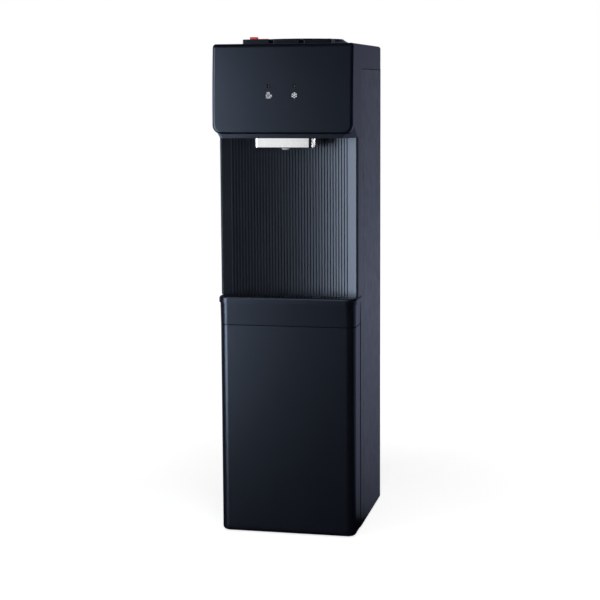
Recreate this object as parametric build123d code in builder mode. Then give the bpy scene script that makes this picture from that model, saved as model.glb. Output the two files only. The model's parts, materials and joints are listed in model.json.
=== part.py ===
from build123d import *
from math import degrees, radians, sqrt, tan
import os

# Floor-standing hot, ambient and cold water dispenser with its bottle on top.
# Origin: centre of the footprint's bounding box, on the floor. +Z up, +Y to the back, +X to the right.
os.makedirs("parts", exist_ok=True)

# ---------------------------------------------------------------- driving dimensions (mm)
# cabinet
foot_height = 8.0
lower_cover_height = 444.5      # base to the seam under the tray housing
tray_housing_height = 60.0      # seam to the top of the drip-tray deck
niche_height = 333.0            # tray deck to the underside of the head
head_height = 192.5             # underside of the head to the top deck
cabinet_width = 294.0           # across the two side sheets
cabinet_depth = 324.0           # face of the lower cover to the rear edge of the side sheets
head_reach = 32.0               # belly of the head in front of the lower cover
condenser_reach = 22.0          # condenser wires behind the side sheets

# walls, sheets and clearances
wall = 2.5                      # moulded plastic
sheet = 1.0                     # steel side sheets and back panel
pan_sheet = 1.5
seam = 1.2                      # dark seam between two mouldings
gap = 0.3                       # seated pieces that must not bind
running = 0.08                  # radial clearance of a turning or sliding fit

# front mouldings
lower_cover_inset = 1.0         # lower cover inside the side sheets, each side
lower_corner_radius = 18.0
lower_rim_round = 8.0           # the lower cover's foot turns in under it
seam_rim_round = 1.2
tray_flare = 2.5                # tray housing leans this far forward under its lip
lip_overhang = 1.3              # lip outside the side sheets, each side
lip_reach = 7.0
lip_height = 13.5
lip_round = 5.5
niche_overhang = 1.0            # niche pillars outside the side sheets, each side
niche_face_depth = 29.0         # nose of the niche pillars behind the lower cover's face
niche_curve_depth = 19.5        # how far the concave wall falls back from that nose
niche_nose = 4.4                # flat strip outside the concave wall
rib_count = 40
rib_pitch = 6.35
rib_height = 2.2
rib_foot = 4.0
rib_draft = 70.0
plastic_depth = 68.0            # front mouldings wrap round the corner this far
side_groove_depth = 51.0        # fine line where the pillar runs on down the tray housing

# head
head_overhang = 0.5             # head outside the side sheets, each side
head_corner_radius = 18.0       # lower corners seen from the front
head_edge_round = 6.0           # sides and lower edge of the fascia, and round the deck
fascia_top_round = 9.0          # top edge of the fascia
belly_height = 27.0             # foremost line of the fascia above the underside of the head
belly_radius = 1376.0
fascia_depth = 20.0             # fascia wraps round to here behind its belly
fascia_drop = 9.0               # underside skirt below the fascia
skirt_setback = 6.0
cheek_depth = 78.0              # head's side cheeks end here behind the lower cover's face
deck_skirt_height = 51.0        # the deck's side skirt over the steel sheets
deck_rear_radius = 8.0
facet_rise = 29.0               # slanting facet under the head's lower corners
facet_inset = 15.5

# drip tray
tray_margin = 17.0              # tray inside the niche's outer faces, each side
tray_front_depth = 2.0
tray_pocket = 32.0
tray_wall = 1.8
grille_thickness = 3.0
grille_windows = 4
grille_side_margin = 9.0        # grille's rim beside its outer windows
grille_slots = 6
grille_slot = 4.4
grille_slot_pitch = 7.6
grille_slot_length = 20.0

# tap
tap_width = 119.0
tap_front_depth = -22.0
tap_depth = 50.0
tap_height = 20.0
tap_corner = 5.0
nozzle_depth = 5.0
nozzle_radius = 7.5
nozzle_bore = 5.0
nozzle_drop = 4.0
valve_depth = 32.0              # push rods and valves behind the lower cover's face
valve_radius = 10.0
valve_bore = 6.0
valve_height = 40.0
valve_floor = 14.0

# buttons
button_width = 58.0
button_pitch = 64.4
button_front_depth = 19.6
button_length = 46.0
button_rise = 10.0
button_clearance = 1.3
button_round = 1.6
hinge_from_rear = 4.0
hinge_drop = 6.0                # hinge axis below the top deck
shaft_radius = 2.0
lug_radius = 4.4
lug_width = 4.0
rod_radius = 3.0
spring_seat_height = 62.0       # collar of the push rod above the underside of the head
guide_rise = 46.0               # rod guide above the springs' seats
guide_plate = 5.0
guide_half_depth = 7.0
guide_boss = 4.0
lock_edge = 14.0                # lock behind the hot button's left side
lock_inset = 6.0
lock_depth = 18.0
lock_travel = 8.0
lock_tab = 14.0
lock_plate = 37.0
lock_height = 5.0

# bottle seat
bottle_depth = 180.0            # bottle axis behind the lower cover's face
collar_foot_radius = 113.0
collar_rim_radius = 87.0
collar_height = 13.0
socket_radius = 30.0            # takes the 55 mm neck of a standard bottle
socket_length = 40.0
bowl_depth = 46.0

# water circuit
cold_tank_radius = 62.0
cold_tank_height = 135.0
tank_wall = 1.2
coil_tube = 3.0
coil_turns = 5
coil_pitch = 14.0
insulation_width = 166.0
insulation_floor = 25.0
hot_tank_radius = 48.0
hot_tank_height = 170.0
hot_stand_height = 23.0
hot_jacket_radius = 60.0
hose_radius = 5.0
shelf_sheet = 1.2
shelf_flange = 14.0

# cooling circuit
compressor_radius = 68.0
compressor_height = 165.0
compressor_depth = 225.0
grommet_radius = 10.0
grommet_height = 21.0
condenser_tube_radius = 2.5
condenser_wire_radius = 0.9
condenser_pitch = 46.0
condenser_rows = 11
condenser_margin = 31.0         # condenser tube inside the cabinet's sides
condenser_base = 170.0          # lowest condenser run above the base
condenser_wire_count = 26
wire_clearance = 0.05
riser_setback = 26.0            # discharge pipe in front of the condenser's legs

# fastenings
screw_radius = 1.9
screw_length = 9.0
screw_head_radius = 3.8
screw_head_height = 2.6

# ---------------------------------------------------------------- places worked out from them
overall_depth = head_reach + cabinet_depth + condenser_reach
cover_y = head_reach - overall_depth / 2
rear_y = cover_y + cabinet_depth
side_x = cabinet_width / 2
lower_cover_width = cabinet_width - 2 * lower_cover_inset
niche_width = cabinet_width + 2 * niche_overhang
lip_width = cabinet_width + 2 * lip_overhang
head_width = cabinet_width + 2 * head_overhang
tray_width = niche_width - 2 * tray_margin
condenser_width = cabinet_width - 2 * condenser_margin
grille_window_pitch = (tray_width - 2 * grille_side_margin) / grille_windows
niche_y = cover_y + niche_face_depth
plastic_y = cover_y + plastic_depth
cheek_y = cover_y + cheek_depth
valve_y = cover_y + valve_depth
nozzle_y = cover_y + nozzle_depth
bottle_y = cover_y + bottle_depth

base_z = foot_height
tray_z = base_z + lower_cover_height
tray_deck_z = tray_z + tray_housing_height
head_z = tray_deck_z + niche_height
deck_z = head_z + head_height
fascia_z = head_z + fascia_drop
belly_z = head_z + belly_height
skirt_z = deck_z - deck_skirt_height

fascia_front_y = cover_y - head_reach
fascia_back_y = fascia_front_y + fascia_depth
back_panel_y = rear_y - sheet           # outer face of the back panel, behind the side flanges


def front_plan(z, width, front_y, back_y, corner):
    """A flat outline at height z whose two front corners are rounded."""
    with BuildSketch(Plane.XY.offset(z)) as outline:
        with Locations((0, (front_y + back_y) / 2)):
            Rectangle(width, back_y - front_y)
        fillet(outline.vertices().group_by(Axis.Y)[0], corner)
    return outline.sketch


def side_profile(points):
    """A flat outline in the Y-Z plane, at X = 0."""
    with BuildSketch(Plane.YZ) as outline:
        with BuildLine():
            Polyline(*points, close=True)
        make_face()
    return outline.sketch


def block(x_size, y_range, z_range, x=0.0):
    """A plain box given by its X size and its Y and Z ranges."""
    with BuildPart() as solid:
        with BuildSketch(Plane.XY.offset(z_range[0])):
            with Locations((x, (y_range[0] + y_range[1]) / 2)):
                Rectangle(x_size, y_range[1] - y_range[0])
        extrude(amount=z_range[1] - z_range[0])
    return solid.part


def rod_along(axis_plane, radius, length):
    """A round bar that starts on a plane and runs along its normal."""
    with BuildPart() as bar:
        with BuildSketch(axis_plane):
            Circle(radius)
        extrude(amount=length)
    return bar.part


def upright(x, y, z, radius, height):
    return rod_along(Plane(origin=(x, y, z), z_dir=(0, 0, 1)), radius, height)


def rearward(x, y, z, radius, length):
    return rod_along(Plane(origin=(x, y, z), z_dir=(0, 1, 0)), radius, length)


def crosswise(x, y, z, radius, length):
    return rod_along(Plane(origin=(x - length / 2, y, z), z_dir=(1, 0, 0)), radius, length)


def turned(points, x, y):
    """A body turned about the vertical through (x, y); points are (radius, height)."""
    with BuildPart() as body:
        with BuildSketch(Plane(origin=(x, y, 0), x_dir=(1, 0, 0), z_dir=(0, -1, 0))):
            with BuildLine():
                Polyline(*points, close=True)
            make_face()
        revolve(axis=Axis((x, y, 0), (0, 0, 1)))
    return body.part


def tube(points, bend, radius):
    """A round tube along straight runs joined by bends of one radius."""
    with BuildPart() as run:
        with BuildLine() as path:
            FilletPolyline(*points, radius=bend)
        with BuildSketch(Plane(origin=path.line @ 0, z_dir=path.line % 0)):
            Circle(radius)
        sweep()
    return run.part


# ================================================================ cabinet
# ---------------------------------------------------------------- base pan and feet
pan_half_front = lower_cover_width / 2 - lower_rim_round - gap
pan_half_rear = side_x - sheet - gap
pan_front_y = cover_y + lower_rim_round + gap
pan_step_y = plastic_y + sheet + wall
pan_back_y = back_panel_y - sheet - gap
pan_height = 20.0
grommet_x = compressor_radius + 4.0
grommet_y = 50.0
compressor_y = cover_y + compressor_depth

with BuildPart() as base_pan:
    for inset, mode in ((0, Mode.ADD), (pan_sheet, Mode.SUBTRACT)):
        extrude(front_plan(base_z + inset, 2 * (pan_half_front - inset), pan_front_y + inset, pan_back_y - inset,
                           lower_corner_radius - lower_rim_round - inset), amount=pan_height, mode=mode)
        add(block(2 * (pan_half_rear - inset), (pan_step_y + inset, pan_back_y - inset),
                  (base_z + inset, base_z + inset + pan_height)), mode=mode)
    for rib_x in (-pan_half_front / 2, pan_half_front / 2):
        add(block(6, (pan_front_y + 20, compressor_y - 80), (base_z + pan_sheet, base_z + 5), rib_x))
base_pan.part.label = "base_pan"
export_step(base_pan.part, "parts/base_pan.step")

foot_radius = 15.0
foot_x = side_x - 42.0
foot_y_front = cover_y + 45.0
foot_y_rear = rear_y - 45.0

with BuildPart() as feet:
    for x in (-foot_x, foot_x):
        for y in (foot_y_front, foot_y_rear):
            add(turned([(0, 0), (foot_radius - 2, 0), (foot_radius, 2),
                        (foot_radius - 1, foot_height), (0, foot_height)], x, y))
feet.part.label = "feet"
export_step(feet.part, "parts/feet.step")

# ---------------------------------------------------------------- lower front cover
cover_top = tray_z - seam

def lower_cover_body(inset, foot_z, top_z):
    """The lower cover's solid, drawn in by inset from its face, with its foot turned in."""
    with BuildPart() as body:
        extrude(front_plan(foot_z, lower_cover_width - 2 * inset, cover_y + inset, plastic_y + inset,
                           lower_corner_radius - inset), amount=top_z - foot_z)
        foot = body.faces().sort_by(Axis.Z)[0].edges()
        fillet(foot.filter_by(lambda edge: edge.center().Y < plastic_y - 1), lower_rim_round - inset)
    return body.part


with BuildPart() as lower_front_cover:
    add(lower_cover_body(0, base_z, cover_top))
    seam_rim = lower_front_cover.faces().sort_by(Axis.Z)[-1].edges()
    fillet(seam_rim.filter_by(lambda edge: edge.center().Y < plastic_y - 1), seam_rim_round)
    add(lower_cover_body(wall, base_z + wall, cover_top + 1), mode=Mode.SUBTRACT)
    extrude(front_plan(base_z - 1, lower_cover_width - 2 * lower_rim_round, cover_y + lower_rim_round,
                       plastic_y + 1, lower_corner_radius - lower_rim_round), amount=wall + 2,
            mode=Mode.SUBTRACT)
    for rib in (1, 2, 3):
        rib_z = base_z + rib * lower_cover_height / 4
        add(block(2, (cover_y + wall, cover_y + wall + 8), (rib_z - 40, rib_z + 40)))
lower_front_cover.part.label = "lower_front_cover"
export_step(lower_front_cover.part, "parts/lower_front_cover.step")

# ---------------------------------------------------------------- tray housing
lip_y = cover_y - lip_reach
lip_z = tray_deck_z - lip_height
tongue_height = 8.0
tongue_inset = wall + gap

# the concave niche wall is a circle whose rear-most line lies on the centre plane
niche_chord = niche_width / 2 - niche_nose
niche_radius = (niche_chord ** 2 + niche_curve_depth ** 2) / (2 * niche_curve_depth)
niche_apex_y = niche_y + niche_curve_depth
niche_centre_y = niche_apex_y - niche_radius

tray_front_y = cover_y + tray_front_depth
tray_arc_radius = niche_radius - rib_height - 2.0


def tray_plan(z, inset):
    """The tray's outline: straight in front and parallel to the niche wall behind."""
    with BuildSketch(Plane.XY.offset(z)) as outline:
        with Locations((0, tray_front_y + inset)):
            Rectangle(tray_width - 2 * inset, 80, align=(Align.CENTER, Align.MIN))
        with Locations((0, niche_centre_y)):
            Circle(tray_arc_radius - inset, mode=Mode.INTERSECT)
        fillet(outline.vertices().group_by(Axis.Y)[0], max(6.0 - inset, 2.0))
    return outline.sketch


with BuildPart() as tray_housing:
    add(front_plan(tray_z, lower_cover_width, cover_y, plastic_y, lower_corner_radius))
    add(front_plan(lip_z, lower_cover_width + 1.0, cover_y - tray_flare, plastic_y, lower_corner_radius + 1))
    loft()
    extrude(front_plan(lip_z, lip_width, lip_y, plastic_y, lower_corner_radius + 4), amount=lip_height)
    lip_edges = tray_housing.edges().filter_by(lambda edge: edge.center().Y < plastic_y - 1)
    lip_edges = lip_edges.filter_by(Plane.XY).group_by(Axis.Z)
    fillet(lip_edges[-1], lip_round)
    # hollow below the deck
    inner_width = lower_cover_width - 2 * wall
    extrude(front_plan(tray_z - 1, inner_width, cover_y + wall, plastic_y + 1, lower_corner_radius - wall),
            amount=tray_housing_height - wall + 1, mode=Mode.SUBTRACT)
    # tongue that hides the seam, inside the lower cover, on a step inside the housing's wall
    extrude(front_plan(tray_z - tongue_height, lower_cover_width - 2 * tongue_inset, cover_y + tongue_inset,
                       plastic_y, lower_corner_radius - tongue_inset), amount=tongue_height)
    extrude(front_plan(tray_z, lower_cover_width - 2, cover_y + 1, plastic_y, lower_corner_radius - 1),
            amount=wall)
    extrude(front_plan(tray_z - tongue_height - 1, lower_cover_width - 2 * tongue_inset - 3,
                       cover_y + tongue_inset + 1.5, plastic_y + 1, lower_corner_radius - tongue_inset - 1.5),
            amount=tongue_height + 2 + wall, mode=Mode.SUBTRACT)
    # pocket for the tray, with its own walls and floor
    extrude(tray_plan(tray_deck_z - tray_pocket - wall, -wall), amount=tray_pocket + wall - 0.5)
    extrude(tray_plan(tray_deck_z - tray_pocket, 0), amount=tray_pocket + 1, mode=Mode.SUBTRACT)
    # fine line down the side where the pillar runs on
    for side in (-1, 1):
        add(block(4, (cover_y + side_groove_depth, cover_y + side_groove_depth + 0.8),
                  (tray_z - 1, lip_z), side * (lower_cover_width / 2 + 1.6)), mode=Mode.SUBTRACT)
tray_housing.part.label = "tray_housing"
export_step(tray_housing.part, "parts/tray_housing.step")

# ---------------------------------------------------------------- drip tray and grille
tray_top_z = tray_deck_z - 0.6
tray_floor_z = tray_deck_z - tray_pocket + gap

with BuildPart() as drip_tray:
    extrude(tray_plan(tray_floor_z, gap), amount=tray_top_z - tray_floor_z)
    extrude(tray_plan(tray_floor_z + tray_wall, gap + tray_wall), amount=tray_pocket, mode=Mode.SUBTRACT)
    # ledge that carries the grille
    extrude(tray_plan(tray_top_z - grille_thickness - 2.5, gap), amount=2.5)
    extrude(tray_plan(tray_floor_z + tray_wall, gap + tray_wall + 2.0),
            amount=tray_pocket, mode=Mode.SUBTRACT)
drip_tray.part.label = "drip_tray"
export_step(drip_tray.part, "parts/drip_tray.step")

grille_z = tray_top_z - grille_thickness
grille_mid_y = tray_front_y + grille_slot_length / 2 + 5.5

with BuildPart() as drip_grille:
    extrude(tray_plan(grille_z, 2 * gap + tray_wall), amount=grille_thickness)
    top_rim = drip_grille.edges().filter_by(Plane.XY).group_by(Axis.Z)[-1]
    chamfer(top_rim, 0.5)
    with BuildSketch(Plane.XY.offset(grille_z)):
        for window in range(grille_windows):
            window_x = (window - (grille_windows - 1) / 2) * grille_window_pitch
            with Locations((window_x, grille_mid_y)):
                with GridLocations(grille_slot_pitch, 0, grille_slots, 1):
                    SlotOverall(grille_slot_length, grille_slot, rotation=90)
    extrude(amount=grille_thickness, mode=Mode.SUBTRACT)
drip_grille.part.label = "drip_grille"
export_step(drip_grille.part, "parts/drip_grille.step")

# ---------------------------------------------------------------- ribbed niche wall
rib_angle = degrees(rib_pitch / niche_radius)
rib_span = rib_angle * (rib_count - 1)

with BuildPart() as niche_wall:
    with BuildSketch(Plane.XY.offset(tray_deck_z)) as wall_plan:
        with Locations((0, (niche_y + plastic_y) / 2)):
            Rectangle(niche_width, plastic_y - niche_y)
        with Locations((0, niche_centre_y)):
            Circle(niche_radius, mode=Mode.SUBTRACT)
        nose_corners = wall_plan.vertices().filter_by(lambda v: abs(v.Y - niche_y) < 0.01)
        fillet(nose_corners.filter_by(lambda v: abs(v.X) > niche_width / 2 - 1), 4.0)
        inner_corners = wall_plan.vertices().filter_by(lambda v: abs(abs(v.X) - niche_chord) < 0.5)
        fillet(inner_corners, 1.2)
        with Locations((0, niche_y + wall + plastic_depth)):
            Rectangle(niche_width - 2 * wall, 2 * plastic_depth, mode=Mode.SUBTRACT)
        with BuildSketch() as skin:
            with Locations((0, niche_centre_y)):
                Circle(niche_radius + wall)
                Circle(niche_radius, mode=Mode.SUBTRACT)
            with Locations((0, (niche_y + niche_apex_y + wall) / 2)):
                Rectangle(niche_width - 2 * wall + 0.2, niche_apex_y + wall - niche_y, mode=Mode.INTERSECT)
    extrude(amount=niche_height)
    with BuildSketch(Plane.XY.offset(tray_deck_z)):
        with Locations((0, niche_centre_y)):
            with PolarLocations(niche_radius, rib_count, 90 - rib_span / 2, rib_span, endpoint=True):
                Trapezoid(rib_foot, rib_height, rib_draft, rotation=90, align=(Align.CENTER, Align.MIN))
    extrude(amount=niche_height)
niche_wall.part.label = "niche_wall"
export_step(niche_wall.part, "parts/niche_wall.step")

# ================================================================ head
# ---------------------------------------------------------------- hood: deck, cheeks and underside
hood_front_y = fascia_front_y + skirt_setback
floor_back_y = niche_apex_y + 2 * wall
head_x = head_width / 2

# slanting facet under each lower corner, from the fascia's round corner back to the niche's nose
facet_points = [(head_x, hood_front_y, head_z + facet_rise), (head_x, niche_y, head_z),
                (head_x - facet_inset, hood_front_y, fascia_z)]


def facet_plane(side, inset):
    """The facet's plane, moved into the hood by inset; its normal points outwards."""
    corner, rear, front = [Vector(side * x, y, z) for x, y, z in facet_points]
    normal = (rear - corner).cross(front - corner).normalized()
    if normal.X * side < 0:
        normal = normal * -1
    return Plane(origin=corner - normal * inset, z_dir=normal)


with BuildPart() as hood_space:
    extrude(side_profile([
        (hood_front_y - 10, deck_z - wall), (rear_y - wall, deck_z - wall), (rear_y - wall, skirt_z - 20),
        (cheek_y + 10, skirt_z - 20), (cheek_y + 10, head_z - 10), (floor_back_y, head_z - 10),
        (floor_back_y, head_z + wall), (hood_front_y + wall, head_z + wall), (hood_front_y + wall, fascia_z + 1),
        (hood_front_y - 10, fascia_z + 1)]), amount=head_x - wall, both=True)
    for side in (-1, 1):
        split(bisect_by=facet_plane(side, wall), keep=Keep.BOTTOM)
    fillet(hood_space.edges().filter_by(Axis.Z).group_by(Axis.Y)[-1], deck_rear_radius - wall)
    ceiling_rim = hood_space.faces().sort_by(Axis.Z)[-1].edges()
    fillet(ceiling_rim.filter_by(lambda edge: edge.center().Y > fascia_back_y), head_edge_round - wall)

hinge_y = cover_y + button_front_depth + button_length - hinge_from_rear
hinge_z = deck_z - hinge_drop
button_mid_y = cover_y + button_front_depth + button_length / 2
web_width = button_pitch - button_width
lug_spacing = button_pitch
spout_hole_radius = nozzle_radius + 1.5
deck_hole_radius = collar_foot_radius - 9.5
tongue_depth = 11.0
hood_tongue_width = cabinet_width - 2 * sheet - 2 * gap
hood_tongue_back_y = back_panel_y - sheet - gap

with BuildPart() as head_hood:
    extrude(side_profile([
        (fascia_back_y, deck_z), (rear_y, deck_z), (rear_y, skirt_z), (cheek_y, skirt_z), (cheek_y, head_z),
        (hood_front_y, head_z), (hood_front_y, fascia_z - gap), (fascia_back_y, fascia_z - gap)]),
        amount=head_x, both=True)
    for side in (-1, 1):
        split(bisect_by=facet_plane(side, 0), keep=Keep.BOTTOM)
    rear_uprights = head_hood.edges().filter_by(Axis.Z).group_by(Axis.Y)[-1]
    fillet(rear_uprights, deck_rear_radius)
    deck_rim = head_hood.faces().sort_by(Axis.Z)[-1].edges()
    fillet(deck_rim.filter_by(lambda edge: edge.center().Y > fascia_back_y + 1), head_edge_round)
    add(hood_space.part, mode=Mode.SUBTRACT)
    # tongue inside the steel sheets, below the deck's skirt
    with BuildSketch(Plane.XY.offset(skirt_z - tongue_depth)) as tongue:
        with Locations((0, (cheek_y + hood_tongue_back_y) / 2)):
            Rectangle(hood_tongue_width, hood_tongue_back_y - cheek_y)
            fillet(tongue.vertices().group_by(Axis.Y)[-1], deck_rear_radius - wall)
            Rectangle(hood_tongue_width - 3, hood_tongue_back_y - cheek_y - 3, mode=Mode.SUBTRACT)
        with Locations((0, cheek_y)):
            Rectangle(hood_tongue_width - 3, 10, mode=Mode.SUBTRACT)
    extrude(amount=tongue_depth + 8)
    with BuildSketch(Plane.XY.offset(skirt_z + 5)) as tongue_ledge:
        with Locations((0, (cheek_y + rear_y - 2) / 2)):
            Rectangle(head_width - 2, rear_y - 2 - cheek_y)
            fillet(tongue_ledge.vertices().group_by(Axis.Y)[-1], deck_rear_radius - 1)
            Rectangle(hood_tongue_width - 3, rear_y - 2 - cheek_y - 8, mode=Mode.SUBTRACT)
        with Locations((0, cheek_y)):
            Rectangle(hood_tongue_width - 3, 40, mode=Mode.SUBTRACT)
    extrude(amount=3)
    # slots for the three buttons, and the opening for the bottle seat
    with BuildSketch(Plane.XY.offset(deck_z - wall - 1)):
        with Locations((0, button_mid_y)):
            with GridLocations(button_pitch, 0, 3, 1):
                Rectangle(button_width + 2 * button_clearance, button_length + 2 * button_clearance)
        with Locations((0, bottle_y)):
            Circle(deck_hole_radius)
    extrude(amount=wall + 2, mode=Mode.SUBTRACT)
    # lugs under the deck that hold the hinge shaft
    for web in range(4):
        lug_x = (web - 1.5) * lug_spacing
        add(block(lug_width, (hinge_y - lug_radius, hinge_y + lug_radius), (hinge_z, deck_z - wall / 2), lug_x))
        add(crosswise(lug_x, hinge_y, hinge_z, lug_radius, lug_width))
    add(crosswise(0, hinge_y, hinge_z, shaft_radius + running, head_width - 4 * wall), mode=Mode.SUBTRACT)
    # hole in the underside for the spout
    add(upright(0, nozzle_y, head_z - 1, spout_hole_radius, wall + 2), mode=Mode.SUBTRACT)
head_hood.part.label = "head_hood"
export_step(head_hood.part, "parts/head_hood.step")

# ---------------------------------------------------------------- fascia
led_spacing = 54.0
led_height = 106.0              # above the underside of the head
led_hole_radius = 4.0
led_radius = 2.5
led_z = head_z + led_height
board_y = fascia_front_y + 15.0
board_post_x = led_spacing / 2 + 11.0
board_thickness = 1.6


def belly_y(z, inset=0.0):
    """Front surface of the fascia at height z."""
    reach = belly_radius - inset
    return fascia_front_y + belly_radius - sqrt(reach ** 2 - (z - belly_z) ** 2)


def fascia_body(inset):
    """The fascia's solid, drawn in by inset from its outer surface, with its front rim rounded."""
    low, high = fascia_z + inset, deck_z - inset
    half = head_x - inset
    with BuildPart() as body:
        with BuildSketch(Plane.YZ.offset(-half)) as profile:
            with BuildLine():
                ThreePointArc((belly_y(low, inset), low), (belly_y((low + high) / 2, inset), (low + high) / 2),
                              (belly_y(high, inset), high))
                Polyline((belly_y(high, inset), high), (fascia_back_y, high), (fascia_back_y, low),
                         (belly_y(low, inset), low))
            make_face()
            top_front = profile.vertices().group_by(Axis.Y)[-1].sort_by(Axis.X)[0]
            fillet(top_front, fascia_top_round - inset)
        extrude(amount=2 * half)
        fillet(body.edges().filter_by(Axis.Y).group_by(Axis.Z)[0], head_corner_radius - inset)
        # the rim to round runs down one side from the deck, along the bottom and up the other side
        rim = body.edges().filter_by(lambda edge: edge.center().Y < fascia_back_y - 0.1)
        tangent_lines = rim.filter_by(Axis.Y).filter_by(lambda edge: edge.center().Z < high - 1)
        tangent_lines += rim.filter_by(Axis.X).filter_by(lambda edge: edge.center().Z > low + 1)
        fillet([edge for edge in rim if edge not in tangent_lines], head_edge_round - inset)
    return body.part


with BuildPart() as head_fascia:
    add(fascia_body(0))
    add(fascia_body(wall), mode=Mode.SUBTRACT)
    for x in (-board_post_x, board_post_x):
        post_front_y = belly_y(led_z, wall) - 0.5
        add(rearward(x, post_front_y, led_z, 3.0, board_y - post_front_y))
    for x in (-led_spacing / 2, led_spacing / 2):
        add(rearward(x, fascia_front_y - 5, led_z, led_hole_radius, 12), mode=Mode.SUBTRACT)
head_fascia.part.label = "head_fascia"
export_step(head_fascia.part, "parts/head_fascia.step")

# ---------------------------------------------------------------- indicator board and lamps
with BuildPart() as indicator_board:
    add(block(2 * board_post_x + 10, (board_y, board_y + board_thickness), (led_z - 12, led_z + 12)))
    add(block(16, (board_y + board_thickness, board_y + board_thickness + 6), (led_z - 9, led_z - 3)))
indicator_board.part.label = "indicator_board"
export_step(indicator_board.part, "parts/indicator_board.step")

led_recess = 2.0
for lamp, lamp_x in (("led_hot", -led_spacing / 2), ("led_cold", led_spacing / 2)):
    led_tip_y = belly_y(led_z) + led_recess
    with BuildPart() as led:
        add(rearward(lamp_x, led_tip_y, led_z, led_radius, board_y - led_tip_y))
        fillet(led.edges().group_by(Axis.Y)[0], led_radius * 0.8)
    led.part.label = lamp
    export_step(led.part, f"parts/{lamp}.step")

# ---------------------------------------------------------------- tap
tap_front_y = cover_y + tap_front_depth
tap_z = head_z - tap_height
valve_y_range = (valve_y - 8, valve_y + 8)
bar_z = head_z + 12.0
bar_height = 16.0
barb_length = 12.0

with BuildPart() as tap_cover:
    with BuildSketch(Plane.XY.offset(tap_z)):
        with Locations((0, tap_front_y + tap_depth / 2)):
            RectangleRounded(tap_width, tap_depth, tap_corner)
    extrude(amount=tap_height)
    fillet(tap_cover.edges().group_by(Axis.Z)[0], 1.5)
    with BuildSketch(Plane.XY.offset(tap_z + tank_wall)):
        with Locations((0, tap_front_y + tap_depth / 2)):
            RectangleRounded(tap_width - 2 * tank_wall, tap_depth - 2 * tank_wall, tap_corner - tank_wall)
    extrude(amount=tap_height, mode=Mode.SUBTRACT)
    add(upright(0, nozzle_y, tap_z - 1, nozzle_radius + gap, 4), mode=Mode.SUBTRACT)
tap_cover.part.label = "tap_cover"
export_step(tap_cover.part, "parts/tap_cover.step")

nozzle_z = tap_z - nozzle_drop
nozzle_length = tap_height + nozzle_drop - 3.0
with BuildPart() as tap_nozzle:
    add(upright(0, nozzle_y, nozzle_z, nozzle_radius, nozzle_length))
    chamfer(tap_nozzle.edges().group_by(Axis.Z)[0], 1.0)
    add(upright(0, nozzle_y, nozzle_z - 1, nozzle_bore, nozzle_length + 2), mode=Mode.SUBTRACT)
    add(upright(0, nozzle_y, nozzle_z, nozzle_bore - 1.5, 2.0))
    add(upright(0, nozzle_y, nozzle_z - 1, nozzle_bore - 2.2, 4.0), mode=Mode.SUBTRACT)
    with Locations((0, nozzle_y, nozzle_z + 1.0)):
        with PolarLocations(nozzle_bore - 0.7, 4):
            Box(3.2, 1.0, 2.0)
tap_nozzle.part.label = "tap_nozzle"
export_step(tap_nozzle.part, "parts/tap_nozzle.step")

valve_xs = [(place - 1) * button_pitch for place in range(3)]
waters = ("hot", "ambient", "cold")
manifold_width = 2 * button_pitch + 2 * valve_radius
spout_bottom_z = nozzle_z + 6.0
spout_radius = nozzle_bore - gap
floor_top_z = head_z + wall

with BuildPart() as tap_manifold:
    add(block(manifold_width, valve_y_range, (bar_z, bar_z + bar_height)))
    fillet(tap_manifold.edges().filter_by(Axis.X), 3.0)
    add(block(16, (nozzle_y, valve_y_range[0] + 1), (bar_z, bar_z + bar_height)))
    add(upright(0, nozzle_y, floor_top_z, 8.0, bar_z + bar_height - floor_top_z))
    add(upright(0, nozzle_y, spout_bottom_z, spout_radius, bar_z - spout_bottom_z))
    for x in valve_xs:
        add(upright(x, valve_y, floor_top_z, valve_radius, valve_height - wall))
        add(rearward(x, valve_y_range[1] - 1, bar_z + bar_height / 2, 4.0, barb_length + 1))
        add(rearward(x, valve_y_range[1] + barb_length - 4, bar_z + bar_height / 2, 4.7, 2.0))
    for x in valve_xs:
        add(upright(x, valve_y, head_z + valve_floor, valve_bore, valve_height), mode=Mode.SUBTRACT)
    add(upright(0, nozzle_y, spout_bottom_z - 1, spout_radius - 1.5, 40), mode=Mode.SUBTRACT)
tap_manifold.part.label = "tap_manifold"
export_step(tap_manifold.part, "parts/tap_manifold.step")

# ---------------------------------------------------------------- buttons, push rods, springs and seals
button_front_y = cover_y + button_front_depth
button_top_z = deck_z + button_rise
button_base_z = deck_z - 4.5
button_skin = 2.0
press_angle = 6.0
press_lever = hinge_y - valve_y
press_travel = press_lever * radians(press_angle)
pad_z = hinge_z + 4.0
rod_tip_z = pad_z - gap
valve_top_z = head_z + valve_height
spring_seat_z = head_z + spring_seat_height
seal_thickness = 4.0
lock_y_range = (button_front_y + lock_inset, button_front_y + lock_inset + lock_depth)
lock_left_x = -button_pitch - button_width / 2 + lock_edge
seal_z = head_z + valve_floor + press_travel + 0.6
plunger_radius = valve_bore - running
spring_wire = 0.7
spring_radius = valve_bore + 1.8
spring_coils = 5

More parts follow.
